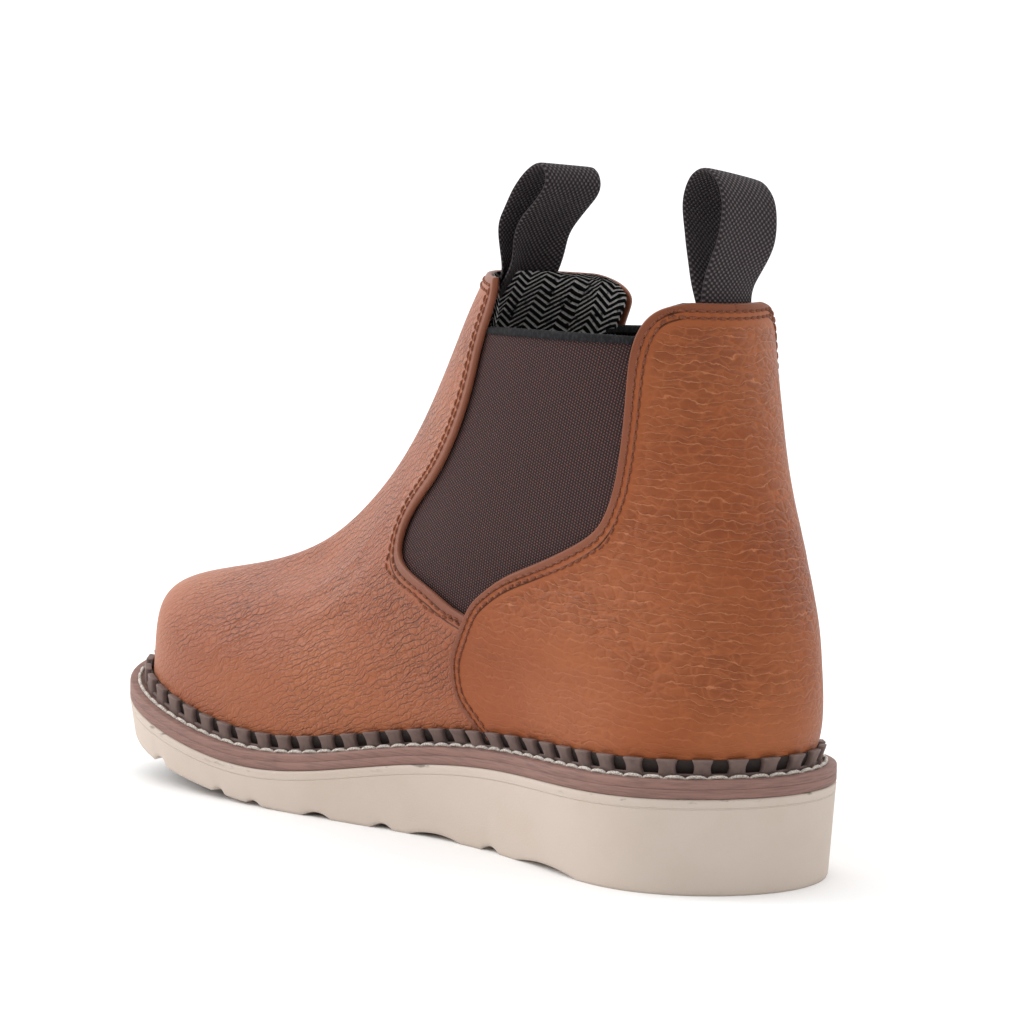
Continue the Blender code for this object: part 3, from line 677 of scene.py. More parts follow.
def leather(name, pebble, painted_pebble_shade, net, furrow, painted_crease, crease_strength, relief, turn, shine):
    """Full-grain leather: pebbles and long furrows this far apart, edges turned and stitched."""
    made = Finish(name)
    place = made.place()
    turning = {"Vector": place, "Angle": math.radians(turn)}
    turned = made.node("VectorRotate", {"rotation_type": "Y_AXIS"}, turning)
    bent = made.warped(turned, 90.0, 0.0040)
    bent = made.warped(bent, 420.0, 0.0014)
    large = tuple(1 / length for length in pebble)
    small = tuple(FINE_PEBBLES / length for length in pebble)
    spread = tuple(1 / (furrow * k) for k in FURROW_SPREAD)
    breaks = tuple(1 / (furrow * k) for k in FURROW_BREAKS)
    gap = made.cells(made.stretched(bent, large), 1.0)
    fine_gap = made.cells(made.stretched(made.shifted(bent, FINE_SHIFT), small), 1.0)
    wander = made.noise(made.stretched(turned, spread), 1.0, 2.5, 0.55)
    climb = made.along(bent, (0.0, 0.0, math.pi / furrow))
    valley = (climb + wander * FURROW_WANDER).wave().size()
    kept = made.noise(made.stretched(turned, breaks), 1.0, 1.0).rise(0.30, 0.46)
    pore = made.noise(place, 1900.0, 3.0, 0.65)
    patch = made.noise(made.stretched(place, PATCHES), 1.0, 2.0)
    tone = made.noise(place, 16.0, 3.0)
    edge = made.painted("edge")
    loose = made.painted("loose")
    plump = gap.rise(0.0, 0.24) * PEBBLE_SHARE + fine_gap.rise(0.0, 0.40) * FINE_PEBBLE_SHARE
    plump = plump + valley.rise(0.0, 0.50) * kept * FURROW_SHARE
    line = ((1 - gap.rise(0.0, 0.07)) * net).top((1 - valley.rise(0.04, 0.26)) * kept)
    strength = (patch.rise(0.32, 0.62) * 0.40 + 0.60) * loose
    away = edge.rise(GRAIN_START, GRAIN_FULL)
    groove = edge.bell(FIRST_ROW * MM, GROOVE_WIDTH).top(edge.bell(SECOND_ROW * MM, GROOVE_WIDTH))
    puff = edge.bell(PUFF_MIDDLE, PUFF_WIDTH) * 0.6 + edge.bell(FOLD_MIDDLE, FOLD_WIDTH) * 0.3
    height = plump * strength * away * relief + pore * PORE_DEPTH
    height = height - groove * GROOVE_DEPTH + puff * PUFF_HEIGHT
    # random darker patches, plus painted shade on the pebbles, darkest where they bulge most
    deep = patch.rise(0.5, 0.85) * 0.20 + plump * strength * away * painted_pebble_shade
    colour = made.mixed(tone.rise(0.32, 0.70), TAN, TAN_LIGHT)
    colour = made.mixed(deep, colour, TAN_DEEP_AND_PEBBLE_SHADE)
    # crease lines: a painted highlight on the quarter, a painted shade on the vamp
    colour = made.mixed(line * strength * away * crease_strength, colour, painted_crease)
    folded = 1 - edge.rise(FOLD_START, FOLD_END)
    colour = made.mixed(folded * 0.55, colour, TAN_EDGE)
    # painted shade in the stitch grooves
    colour = made.mixed(groove * 0.80, colour, STITCH_GROOVE_SHADE)
    rough = 0.50 - plump * strength * 0.10 + pore * 0.14 + groove * 0.15
    return made.surface(colour, rough, height, Specular_IOR_Level=shine, Sheen_Weight=shine / 6,
                        Sheen_Roughness=0.45)


def rubber(name, colour, dark, streak):
    """Brown rubber with fine lengthwise streaks."""
    made = Finish(name)
    place = made.place()
    lines = made.noise(made.stretched(place, streak), 1.0, 3.0)
    blotch = made.noise(place, 60.0, 3.0)
    grit = made.noise(place, 2400.0, 2.0)
    shade = made.mixed(lines.rise(0.35, 0.75) * 0.6 + blotch.rise(0.55, 0.75) * 0.25, colour, dark)
    height = lines * 0.00010 + grit * 0.00004
    return made.surface(shade, 0.62 + blotch * 0.15, height, Specular_IOR_Level=0.35)


def foam():
    """Off-white foamed rubber, faintly pitted, with dark specks and scuffs near its edges."""
    made = Finish("foam_wedge")
    place = made.place()
    drop = made.painted("drop")
    cloud = made.noise(place, 26.0, 4.0, 0.6)
    pits = made.noise(place, 1500.0, 2.0, 0.6)
    speck = made.cells(made.warped(place, 120.0, 0.02), 62.0, "F1")
    where = made.noise(place, 45.0, 1.0)
    scuff = made.noise(made.stretched(place, SCUFF_STRETCH), 1.0, 3.0)
    colour = made.mixed(cloud.rise(0.4, 0.75) * 0.5, FOAM_CREAM, FOAM_SHADE)
    specks = (1 - speck.rise(0.035, 0.06)) * where.rise(0.56, 0.60)
    near_top = 1 - drop.rise(SCUFF_FULL, SCUFF_END)
    stain = near_top * scuff.rise(0.60, 0.70)
    colour = made.mixed(specks * 0.8 + stain * 0.7, colour, FOAM_STAIN)
    line = drop.bell(MOULD_LINE_DROP, MOULD_LINE_WIDTH)
    colour = made.mixed(line * 0.35, colour, FOAM_SHADE)
    height = pits * 0.00007 - line * MOULD_LINE_DEPTH + cloud * 0.0003
    return made.surface(colour, 0.78, height, Specular_IOR_Level=0.25)


def thread(name, colour):
    """Twisted sewing thread."""
    made = Finish(name)
    place = made.place()
    twist = made.noise(made.stretched(place, TWIST), 1.0, 2.0)
    dark = tuple(c * 0.45 for c in colour)
    shade = made.mixed(twist.rise(0.35, 0.6), dark, colour)
    return made.surface(shade, 0.75, twist * 0.0001, Specular_IOR_Level=0.3)


def elastic():
    """Woven elastic: fine slanting dots, dark brown with a red tinge in its ribs."""
    made = Finish("elastic_gore")
    across = made.painted("across")
    up = made.painted("up")
    turn = 2 * math.pi / ELASTIC_PITCH
    slant = ((across * turn + up * turn * 0.5).wave() + 1) * 0.5
    other = ((across * turn * 0.5 - up * turn * 0.95).wave() + 1) * 0.5
    weave = slant * other
    place = made.place()
    fleck = made.noise(made.stretched(place, (900.0, 900.0, 900.0)), 1.0, 2.0)
    worn = made.noise(place, 40.0, 2.0)
    red = weave.rise(0.45, 0.8) * fleck.rise(0.42, 0.62) * (0.5 + worn * 0.5)
    colour = made.mixed(weave.rise(0.15, 0.7), ELASTIC_DARK, ELASTIC_BROWN)
    colour = made.mixed(red, colour, ELASTIC_RED)
    return made.surface(colour, 0.86, weave * ELASTIC_DEPTH + fleck * 0.00005, Specular_IOR_Level=0.2)


def webbing():
    """Plain woven webbing, staggered dots in rows along the strip."""
    made = Finish("loop_webbing")
    across = made.painted("across")
    along = made.painted("up")
    pick = 2 * math.pi / WEBBING_PITCH
    warp = (across * pick).wave()
    weft = (along * pick).wave()
    weave = (warp * weft + 1) * 0.5
    place = made.place()
    fuzz = made.noise(place, 1800.0, 3.0, 0.6)
    light = made.noise(place, 60.0, 2.0)
    dots = weave.rise(0.62, 0.92) * (fuzz * 0.5 + light * 0.6)
    colour = made.mixed(weave.rise(0.25, 0.85), WEBBING_DARK, WEBBING_BROWN)
    colour = made.mixed(dots, colour, WEBBING_LIGHT)
    return made.surface(colour, 0.80, weave * WEBBING_DEPTH + fuzz * 0.00006, Specular_IOR_Level=0.25)


def zigzag_knit():
    """Black lining with white chevrons knitted in rows."""
    made = Finish("zigzag_lining")
    across = made.painted("across")
    up = made.painted("up")
    place = made.place()
    fuzz = made.noise(place, 1500.0, 3.0, 0.6)
    turn = 2 * math.pi / CHEVRON_LENGTH
    chevron = (across * turn).wave().math("ARCSINE") * (CHEVRON_SLOPE / turn)
    row = ((up + chevron) * (2 * math.pi / KNIT_ROW)).wave()
    rough_row = row + fuzz * KNIT_FUZZ - KNIT_FUZZ / 2
    white = rough_row.rise(0.12, 0.62) * made.noise(place, 420.0, 2.0).rise(0.26, 0.46)
    colour = made.mixed(white, KNIT_BLACK, KNIT_WHITE)
    return made.surface(colour, 0.92, row * 0.00015 + fuzz * 0.0003, Specular_IOR_Level=0.15)


def plain_cloth(name, colour, rib):
    """Dark knit or felt with a fine rib."""
    made = Finish(name)
    place = made.place()
    lines = made.noise(made.stretched(place, rib), 1.0, 2.0)
    fuzz = made.noise(place, 1700.0, 3.0, 0.6)
    bright = tuple(min(c * 2.6 + 0.01, 1) for c in colour)
    shade = made.mixed(lines.rise(0.4, 0.7) * 0.6 + fuzz * 0.2, colour, bright)
    return made.surface(shade, 0.93, lines * 0.0002 + fuzz * 0.0001, Specular_IOR_Level=0.15)


def floor_finish():
    """Plain white floor."""
    made = Finish("studio_floor")
    return made.surface(FLOOR_WHITE, 0.9, Specular_IOR_Level=0.0)


# meshes

def add_mesh(name, points, faces, finish, node=None, values=None):
    """A piece from points in the boot's own place, riding on the boot."""
    mesh = bpy.data.meshes.new(name)
    points = np.asarray(points, float) - ORIGIN
    mesh.from_pydata(points.tolist(), [], [list(map(int, face)) for face in faces])
    for key, value in (values or {}).items():
        layer = mesh.attributes.new(key, "FLOAT", "POINT")
        layer.data.foreach_set("value", np.asarray(value, np.float32).ravel())
    mesh.materials.append(finish)
    mesh.shade_smooth()
    piece = bpy.data.objects.new(name, mesh)
    bpy.context.scene.collection.objects.link(piece)
    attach(piece, "root")
    if node:
        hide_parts(*node)
    return piece


def grid_faces(rows, count, close_rows=False, close_columns=False, flip=False):
    """Quads of a grid of rows by count points."""
    i = np.arange(rows if close_rows else rows - 1)[:, None]
    j = np.arange(count if close_columns else count - 1)[None, :]
    i2 = (i + 1) % rows
    j2 = (j + 1) % count
    quads = np.stack([i * count + j, i * count + j2, i2 * count + j2, i2 * count + j], -1).reshape(-1, 4)
    return quads[:, ::-1] if flip else quads


def cap_faces(start, count, flip):
    """Faces that close a ring of points, each one reaching from side to side."""
    faces = []
    for i in range(count // 2):
        ids = [start + i, start + i + 1, start + (count - i - 1) % count, start + (count - i) % count]
        ids = list(dict.fromkeys(ids))
        faces.append(ids[::-1] if flip else ids)
    return faces


def turns_round(inset, places, count):
    """Turns round the sole at an inset, for places out of count on its length, and that length."""
    fine = np.linspace(0, np.pi, 1200)
    back = fine[1:-1][::-1]
    line = np.concatenate([inset_edge(fine, LEFT, inset), inset_edge(back, RIGHT, inset)])
    turn = np.concatenate([fine, 2 * np.pi - back, [2 * np.pi]])
    walked = walk(np.vstack([line, line[:1]]))
    return np.interp(places * walked[-1] / count, walked, turn), walked[-1]


def around_sole(inset, count):
    """Points around the sole at an inset, evenly walked, with their outward directions."""
    turns, _ = turns_round(inset, np.arange(count), count)
    return edge_points(turns, inset)


def edge_points(turn, inset):
    """Points at a turn from 0 to two pi round the sole, and their outward directions."""
    side = np.where(turn <= np.pi, LEFT, RIGHT)
    angle = np.where(turn <= np.pi, turn, 2 * np.pi - turn)
    plan = np.array([inset_edge(a, s, inset) for a, s in zip(angle, side)])
    out = np.array([edge_outward(a, s) for a, s in zip(angle, side)])
    return plan, out


def swept_ring(name, profile, level, finish, node):
    """A closed band round the sole: profile points are (inwards, up) from the edge over a level."""
    plan, out = around_sole(0.0, SOLE_COLUMNS)
    rows = []
    for inward, up in profile:
        ring = plan - out * inward
        rows.append(np.column_stack([ring, deck(ring[:, 0]) + level + up]))
    faces = grid_faces(len(rows), SOLE_COLUMNS, close_rows=True, close_columns=True)
    add_mesh(name, np.concatenate(rows), faces, finish, node)


# sole pieces

SOLE_COLUMNS = 620
SIDE_ROWS = 15
SIDE_SPAN = 0.02
SOLE_RIM = 0.0007
RIM_INSET = 0.006
BAND_INNER = 0.030
BAND_BEVEL = 0.0004
BAND_NICK = 0.00012
BAND_NICK_HEIGHT = 0.0001
WELT_BEAD = 0.0008
TOOTH_FLARE = 0.0009
TOOTH_ROUND_ACROSS = 0.8
TOOTH_ROUND_OUT = 0.5
TOOTH_WALL = (0.0, 0.03, 0.06, 0.09, 0.12, 0.15)
TOOTH_LEVELS = ((-0.2, 0.0), (0.0, 0.0), (0.14, 0.0), (0.28, 0.0), (0.42, 0.0), (0.58, 0.0), (0.72, 0.0),
                (0.86, 0.0), (0.95, 0.00008), (0.99, 0.00030), (1.0, 0.00060))
TOOTH_CORNERS = ((-1, 0), (-0.86, -0.12), (0.86, -0.12), (1, 0),
                 (1, 0.78), (0.86, 1), (-0.86, 1), (-1, 0.78))
RECESS = ((-0.12, -0.1), (0.18, -0.1), (0.18, 0.90), (0.10, 0.94), (-0.12, 0.94))
SHELF = ((0.0, -0.1), (0.92, -0.1), (0.92, 0.16), (0.82, 0.22), (0.0, 0.22))
RECESS_COLUMNS = 480
STITCH_SHARES = (-0.5, -0.40, -0.2, 0.0, 0.2, 0.40, 0.5)
STITCH_THICKNESS = (0.45, 0.85, 1.0, 1.0, 1.0, 0.85, 0.45)
STITCH_SIDES = 6
EDGE_STITCH = {"pitch": 0.0032, "length": 0.0026, "radius": 0.00050, "arch": 0.00022, "sink": 0.00016}
LOCKSTITCH = {"pitch": 0.0064, "length": 0.0066, "radius": 0.00062, "arch": 0.0007, "sink": 0.0001}
LOCKSTITCH_POINTS = 700
LOCKSTITCH_OFF = 0.0016
LOCKSTITCH_LEAN = 0.35
INSOLE_COLUMNS = 240
INSOLE_MARGIN = 0.001
INSOLE_BEVEL = 0.001
INSOLE_BEVEL_INWARDS = 0.0012


def tread_height(x):
    """Bottom of the foam at x, with its hollows."""
    z = ground(x)
    for middle, length, depth in TREAD:
        half = length * SOLE_LENGTH / 2
        deep = depth * TREAD_DEPTH
        radius = (half ** 2 + deep ** 2) / (2 * deep)
        off = np.abs(x - middle * SOLE_LENGTH)
        arc = np.sqrt(np.maximum(radius ** 2 - off ** 2, 0)) - (radius - deep)
        z = z + np.where(off < half, np.maximum(arc, 0), 0)
    return z


def make_outsole():
    """Foam wedge with rounded rims, tapered sides and a hollowed tread."""
    count = SOLE_COLUMNS
    plan, out = around_sole(0.0, count)
    rows, drops = [], []
    shares = np.concatenate([[0.0, 0.0], np.linspace(0, 1, SIDE_ROWS), [1.0, 1.0]])
    insets = np.concatenate([[RIM_INSET, SOLE_RIM * 0.4], np.zeros(SIDE_ROWS), [SOLE_RIM * 0.5, RIM_INSET]])
    for share, inset in zip(shares, insets):
        ring = plan - out * (SIDE_TAPER * share + inset)
        top = deck(ring[:, 0])
        low = tread_height(ring[:, 0])
        rim = SOLE_RIM if inset == 0 else 0.0
        body = np.clip(share * (1 + 2 * rim / SIDE_SPAN) - rim / SIDE_SPAN, 0, 1)
        z = top - rim - (top - low - 2 * rim) * body
        rows.append(np.column_stack([ring, z]))
        drops.append(top - z)
    faces = grid_faces(len(rows), count, close_columns=True, flip=True).tolist()
    faces += cap_faces(0, count, True) + cap_faces((len(rows) - 1) * count, count, False)
    add_mesh("foam_wedge_outsole", np.concatenate(rows), faces, foam(), ["outsole"],
             {"drop": np.concatenate(drops)})


def make_midsole():
    """Brown rubber sheet, the lower part of the brown band."""
    finish = rubber("midsole_rubber", RUBBER_BROWN, RUBBER_DARK, MIDSOLE_STREAK)
    top = MIDSOLE_THICKNESS + GAP
    profile = [(BAND_INNER, 0.0), (BAND_BEVEL, 0.0), (0.0, BAND_BEVEL),
               (0.0, top - BAND_NICK_HEIGHT), (BAND_NICK, top), (BAND_INNER, top)]
    swept_ring("midsole_band", profile, GAP / 2, finish, ["midsole"])


def make_welt():
    """Welt strip, its row of teeth and the white lockstitch between them and the edge."""
    finish = rubber("welt_rubber", RUBBER_BROWN, RUBBER_DARK, WELT_STREAK)
    low = -GAP / 2
    inner = WELT_MARGIN + LEATHER
    turn = np.linspace(0, np.pi / 2, 6)
    bead = [(WELT_BEAD * (1 - math.cos(a)), WELT_THICKNESS - WELT_BEAD * (1 - math.sin(a))) for a in turn]
    profile = [(inner, low), (BAND_NICK, low), (0.0, low + BAND_NICK_HEIGHT), *bead, (inner, WELT_THICKNESS)]
    swept_ring("welt_strip", profile, WELT_LEVEL, finish, ["welt"])
    grey = rubber("teeth_rubber", RUBBER_GREY, RUBBER_SHADE, TEETH_STREAK)
    make_teeth(grey)
    make_recess(grey)
    make_lockstitch()


def tooth_foot(turn, out):
    """Reach of a tooth's back face at its root, and how far the upper leans out at its tip."""
    angle, side = (turn, LEFT) if turn <= np.pi else (2 * np.pi - turn, RIGHT)
    wall = np.array([last_point(level, angle, side) for level in TOOTH_WALL])
    reach = (wall[:, :2] - wall[0, :2]) @ out
    lean = max(float(np.interp(TOOTH_HEIGHT, wall[:, 2] - wall[0, 2], reach)), 0.0)
    behind = wall[0, 0] < np.interp(wall[0, 2] + TOOTH_HEIGHT, *SEAM_LINE) + TOOTH_WIDTH
    rise = float(lap(wall[0] + (0, 0, TOOTH_HEIGHT))) if behind else 0.0
    return TOOTH_CLEARANCE / 2 + rise, lean


def make_teeth(finish):
    """Upright rubber teeth against the upper, with hollow sides and rounded edges."""
    _, girth = turns_round(WELT_MARGIN, 0.0, 1)
    count = int(round(girth / TOOTH_PITCH))
    turns, _ = turns_round(WELT_MARGIN, np.arange(count) + 0.5, count)
    plan, out = edge_points(turns, WELT_MARGIN)
    points, faces = [], []
    ring = len(TOOTH_CORNERS)
    for k in range(count):
        base = len(points)
        along = np.array([-out[k, 1], out[k, 0]])
        start, lean = tooth_foot(turns[k], out[k])
        for share, shrink in TOOTH_LEVELS:
            flare = TOOTH_FLARE * (2 * max(share, 0) - 1) ** 2
            half = TOOTH_WIDTH / 2 + flare - shrink * TOOTH_ROUND_ACROSS
            for across, deep in TOOTH_CORNERS:
                reach = start + lean * max(share, 0) + shrink * TOOTH_ROUND_OUT
                reach = reach + deep * (TOOTH_THICKNESS + GAP - shrink)
                spot = plan[k] + out[k] * reach + along * across * half
                z = deck(spot[0]) + WELT_LEVEL + WELT_THICKNESS + share * TOOTH_HEIGHT
                points.append((*spot, float(z)))
        faces += (grid_faces(len(TOOTH_LEVELS), ring, close_columns=True) + base).tolist()
        last = base + (len(TOOTH_LEVELS) - 1) * ring
        faces.append([last + a for a in range(ring)])
        faces.append([base + a for a in range(ring)][::-1])
    add_mesh("welt_teeth", points, faces, finish, ["welt"])


def make_recess(grey):
    """Dark wall behind the teeth that paints the shade in the gaps between them, and the low shelf of rubber
    that joins their feet.
    """
    count = RECESS_COLUMNS
    turns, _ = turns_round(WELT_MARGIN, np.arange(count), count)
    plan, out = edge_points(turns, WELT_MARGIN)
    feet = np.array([tooth_foot(turn, away) for turn, away in zip(turns, out)])
    # near-black wall behind the teeth: painted shade in the gaps between them
    dark = rubber("recess_shade", RECESS_SHADE, RECESS_SHADE, TEETH_STREAK)
    for name, profile, finish in (("welt_recess_shade", RECESS, dark), ("welt_shelf", SHELF, grey)):
        rows = []
        for reach, share in profile:
            ring = plan + out * (feet[:, :1] + feet[:, 1:] * max(share, 0) + reach * TOOTH_THICKNESS)
            z = deck(ring[:, 0]) + WELT_LEVEL + WELT_THICKNESS + share * TOOTH_HEIGHT
            rows.append(np.column_stack([ring, z]))
        faces = grid_faces(len(rows), count, close_rows=True, close_columns=True, flip=True)
        add_mesh(name, np.concatenate(rows), faces, finish, ["welt"])


def stitches(name, path, outward, sizes, finish, closed=False):
    """A row of thread stitches along a path, each one dipping into its holes."""
    outward = unit(outward)
    if closed:
        path = np.vstack([path, path[:1]])
        outward = np.vstack([outward, outward[:1]])
    walked = walk(path)
    count = max(int(walked[-1] / sizes["pitch"]), 1)
    shares = np.array(STITCH_SHARES)
    lift = sizes["arch"] * (1 - (2 * np.abs(shares)) ** 3) - sizes["sink"]
    thick = sizes["radius"] * np.array(STITCH_THICKNESS)
    turn = np.linspace(0, 2 * np.pi, STITCH_SIDES + 1)[:-1]
    points, faces = [], []
    for k in range(count):
        at = (k + 0.5) * walked[-1] / count + shares * sizes["length"]
        at = np.clip(at, 0, walked[-1])
        centre = np.stack([np.interp(at, walked, path[:, a]) for a in range(3)], -1)
        up = unit(np.stack([np.interp(at, walked, outward[:, a]) for a in range(3)], -1))
        along = unit(np.gradient(centre, axis=0))
        across = unit(np.cross(along, up))
        base = len(points)
        for c, u, s, h, r in zip(centre, up, across, lift, thick):
            for a in turn:
                points.append(c + u * (h + r * math.sin(a)) + s * r * math.cos(a))
        faces += (grid_faces(len(shares), STITCH_SIDES, close_columns=True, flip=True) + base).tolist()
        last = base + (len(shares) - 1) * STITCH_SIDES
        faces.append([base + a for a in range(STITCH_SIDES)])
        faces.append([last + a for a in range(STITCH_SIDES)][::-1])
    add_mesh(name, points, faces, finish)


def make_lockstitch():
    """Thick white thread in the welt, between the teeth and the edge."""
    inset = WELT_MARGIN - TOOTH_CLEARANCE - TOOTH_THICKNESS - LOCKSTITCH_OFF
    plan, out = around_sole(inset, LOCKSTITCH_POINTS)
    top = deck(plan[:, 0]) + WELT_LEVEL + WELT_THICKNESS
    path = np.column_stack([plan, top])
    up = np.column_stack([out * LOCKSTITCH_LEAN, np.ones(len(plan))])
    stitches("welt_lockstitch", path, up, LOCKSTITCH, thread("welt_thread", THREAD_WHITE),
             closed=True)


def make_insole():
    """Black footbed."""
    count = INSOLE_COLUMNS
    plan, out = around_sole(WELT_MARGIN + LEATHER + INSOLE_MARGIN, count)
    finish = plain_cloth("footbed_cloth", FOOTBED_BLACK, FOOTBED_RIB)
    profile = ((0.0, 0.0), (0.0, INSOLE_THICKNESS - INSOLE_BEVEL), (INSOLE_BEVEL_INWARDS, INSOLE_THICKNESS))
    rows = []
    for inward, up in profile:
        ring = plan - out * inward
        rows.append(np.column_stack([ring, deck(ring[:, 0]) + WELT_LEVEL + up]))
    faces = grid_faces(len(rows), count, close_columns=True).tolist()
    faces += cap_faces((len(rows) - 1) * count, count, True) + cap_faces(0, count, False)
    add_mesh("footbed", np.concatenate(rows), faces, finish, ["insole"])


# leather panels

# section of a turned and stitched edge: how far in from the edge, how far under the face
TURNED_EDGE = ((6.0, 2.2), (2.4, 2.2), (0.9, 2.15), (0.25, 1.9), (0.0, 1.4), (0.0, 0.85), (0.15, 0.4),
               (0.45, 0.12), (0.9, 0.0))
CORNER_REACH = 0.015
CORNER_DROP = 0.009
VAMP_STITCH_TUCK = 0.006
QUARTER_WIDEST = 0.125
VAMP_WIDEST = 0.29
STEEPEST_EDGE = 2.6
SLOPE_REACH = 0.0004
TRUE_WIDTH = 0.008
TRUE_WIDTH_FADE = 0.03
RIM_STEP = 0.0004
QUARTER_STEPS = (0.0013, 0.0012)
VAMP_STEPS = (0.0017, 0.0015)
NEAR_EDGE = (1.4, 1.9, 2.3, 2.7, 3.2, 3.8, 4.3, 4.8, 5.4, 6.2, 7.2, 8.3, 9.6, 11.0, 12.5, 14.0)


def edge_section(total, step):
    """Distances from the edge and depths of the points from the hidden return to the middle."""
    turned = np.array(TURNED_EDGE) * MM
    near = np.array(NEAR_EDGE) * MM
    rest = np.linspace(near[-1], total, max(int((total - near[-1]) / step), 2) + 1)[1:]
    distance = np.concatenate([turned[:, 0], near, rest])
    depth = np.concatenate([turned[:, 1], np.zeros(len(near) + len(rest))])
    return distance, depth


def level_for_walk(front):
    """Level of the last at a distance walked down from the collar, at the back or the front."""
    levels = np.linspace(1, 0, 400)
    theta = np.pi if front else 0.0
    line = np.array([last_point(level, theta, LEFT) for level in levels])
    walked = walk(line)
    return lambda distance: np.interp(distance, walked, levels), walked[-1]


def edge_position(points, walked, edge_x, front):
    """Distance walked to where a ring meets a panel's edge, and the edge's slope there."""
    gap = points[:, 0] - edge_x(points[:, 2])
    order = range(len(gap) - 2, -1, -1) if front else range(len(gap) - 1)
    for i in order:
        if (gap[i] < 0) != (gap[i + 1] < 0):
            share = gap[i] / (gap[i] - gap[i + 1])
            z = points[i, 2] + share * (points[i + 1, 2] - points[i, 2])
            slope = (edge_x(z + SLOPE_REACH) - edge_x(z - SLOPE_REACH)) / (2 * SLOPE_REACH)
            return walked[i] + share * (walked[i + 1] - walked[i]), min(abs(float(slope)), STEEPEST_EDGE)
    return walked[-1] / 2, 0.0


def panel(front, edge_x, steps, relief, depth_shift=0.0, section=edge_section):
    """Grid of a panel that runs round the back or the front of the boot, its steps across and down.

    Gives the points, the outward directions and the tables of distances and depths, so that
    edges and stitches can be found again.
    """
    level_of, length = level_for_walk(front)
    row_distance, row_depth = section(length, steps[1])
    col_distance, col_depth = section(VAMP_WIDEST if front else QUARTER_WIDEST, steps[0])
    held = int(np.argmin(np.abs(col_distance - NEAR_EDGE[-1] * MM)))
    rows, normals = [], []
    for d, h in zip(row_distance, row_depth):
        level = float(level_of(d))
        corner = CORNER_REACH * (1 - math.sqrt(1 - max(1 - d / CORNER_DROP, 0.0) ** 2))
        halves = []
        for side in (LEFT, RIGHT):
            points, outward, walked = half_ring(level, side)
            edge, slope = edge_position(points, walked, edge_x, front)
            edge += corner if front and side == RIGHT else 0.0
            far = walked[-1] - edge if front else edge
            stretch = math.sqrt(1 + slope * slope)
            near_edge = 1 - ease((col_distance - TRUE_WIDTH) / TRUE_WIDTH_FADE)
            near = col_distance * (1 + (stretch - 1) * near_edge)
            rest = np.maximum(near - near[held], 0)
            scaled = np.minimum(near, near[held]) + rest * (far - near[held]) / rest[-1]
            at = edge + scaled if front else edge - scaled
            spot = np.stack([np.interp(at, walked, points[:, a]) for a in range(3)], -1)
            out = unit(np.stack([np.interp(at, walked, outward[:, a]) for a in range(3)], -1))
            halves.append((spot, out))
        spot = np.concatenate([halves[0][0], halves[1][0][:-1][::-1]])
        out = np.concatenate([halves[0][1], halves[1][1][:-1][::-1]])
        if section is lining_section:
            flat = out * (1, 1, 0) / np.maximum((out[:, :2] ** 2).sum(1), 0.5)[:, None]
            out = out + (flat - out) * ease((level - LINING_LEVEL) / LINING_LEVEL_FADE)
        under = np.maximum(np.concatenate([col_depth, col_depth[:-1][::-1]]), h)
        rows.append(spot - out * (under + depth_shift)[:, None])
        normals.append(out)
    points = np.array(rows)
    normals = np.array(normals)
    hidden = np.maximum(row_depth[:, None], np.concatenate([col_depth, col_depth[:-1][::-1]])[None, :])
    points = points + normals * (relief(points) * (hidden <= 0))[..., None]
    return {"points": points, "normals": normals, "rows": row_distance, "cols": col_distance,
            "row_depth": row_depth, "col_depth": col_depth, "hidden": hidden, "count": points.shape[1]}


def rim_of(made):
    """The panel's visible edge as one line of points: up one side, along the top, down the other."""
    first = len(TURNED_EDGE) - 1
    points = made["points"]
    count = made["count"]
    left = points[first:, first][::-1]
    top = points[first, first:count - first]
    right = points[first:, count - 1 - first]
    return np.concatenate([left, top, right])


def edge_distance(made, rim):
    """Distance of every point of a panel to its visible edge."""
    dense = curve_points(rim, RIM_STEP)
    tree = KDTree(len(dense))
    for i, p in enumerate(dense):
        tree.insert(p, i)
    tree.balance()
    points = made["points"].reshape(-1, 3)
    found = np.array([tree.find(p)[2] for p in points])
    offset = TURNED_EDGE[-1][0] * MM
    return np.where(made["hidden"].ravel() > 0, 0.0, found + offset)


def curve_points(line, step):
    """A line divided into short steps."""
    walked = walk(line)
    at = np.arange(0, walked[-1], step)
    return np.stack([np.interp(at, walked, line[:, a]) for a in range(3)], -1)


def stitch_path(made, distance):
    """Path at a distance from the edge: up one side, along the top, down the other."""
    row = int(np.argmin(np.abs(made["rows"] - distance) + (made["row_depth"] > 0)))
    col = int(np.argmin(np.abs(made["cols"] - distance) + (made["col_depth"] > 0)))
    last = made["count"] - 1 - col
    grid, out = made["points"], made["normals"]
    path = np.concatenate([grid[row:, col][::-1], grid[row, col + 1:last], grid[row:, last]])
    up = np.concatenate([out[row:, col][::-1], out[row, col + 1:last], out[row:, last]])
    return path, up
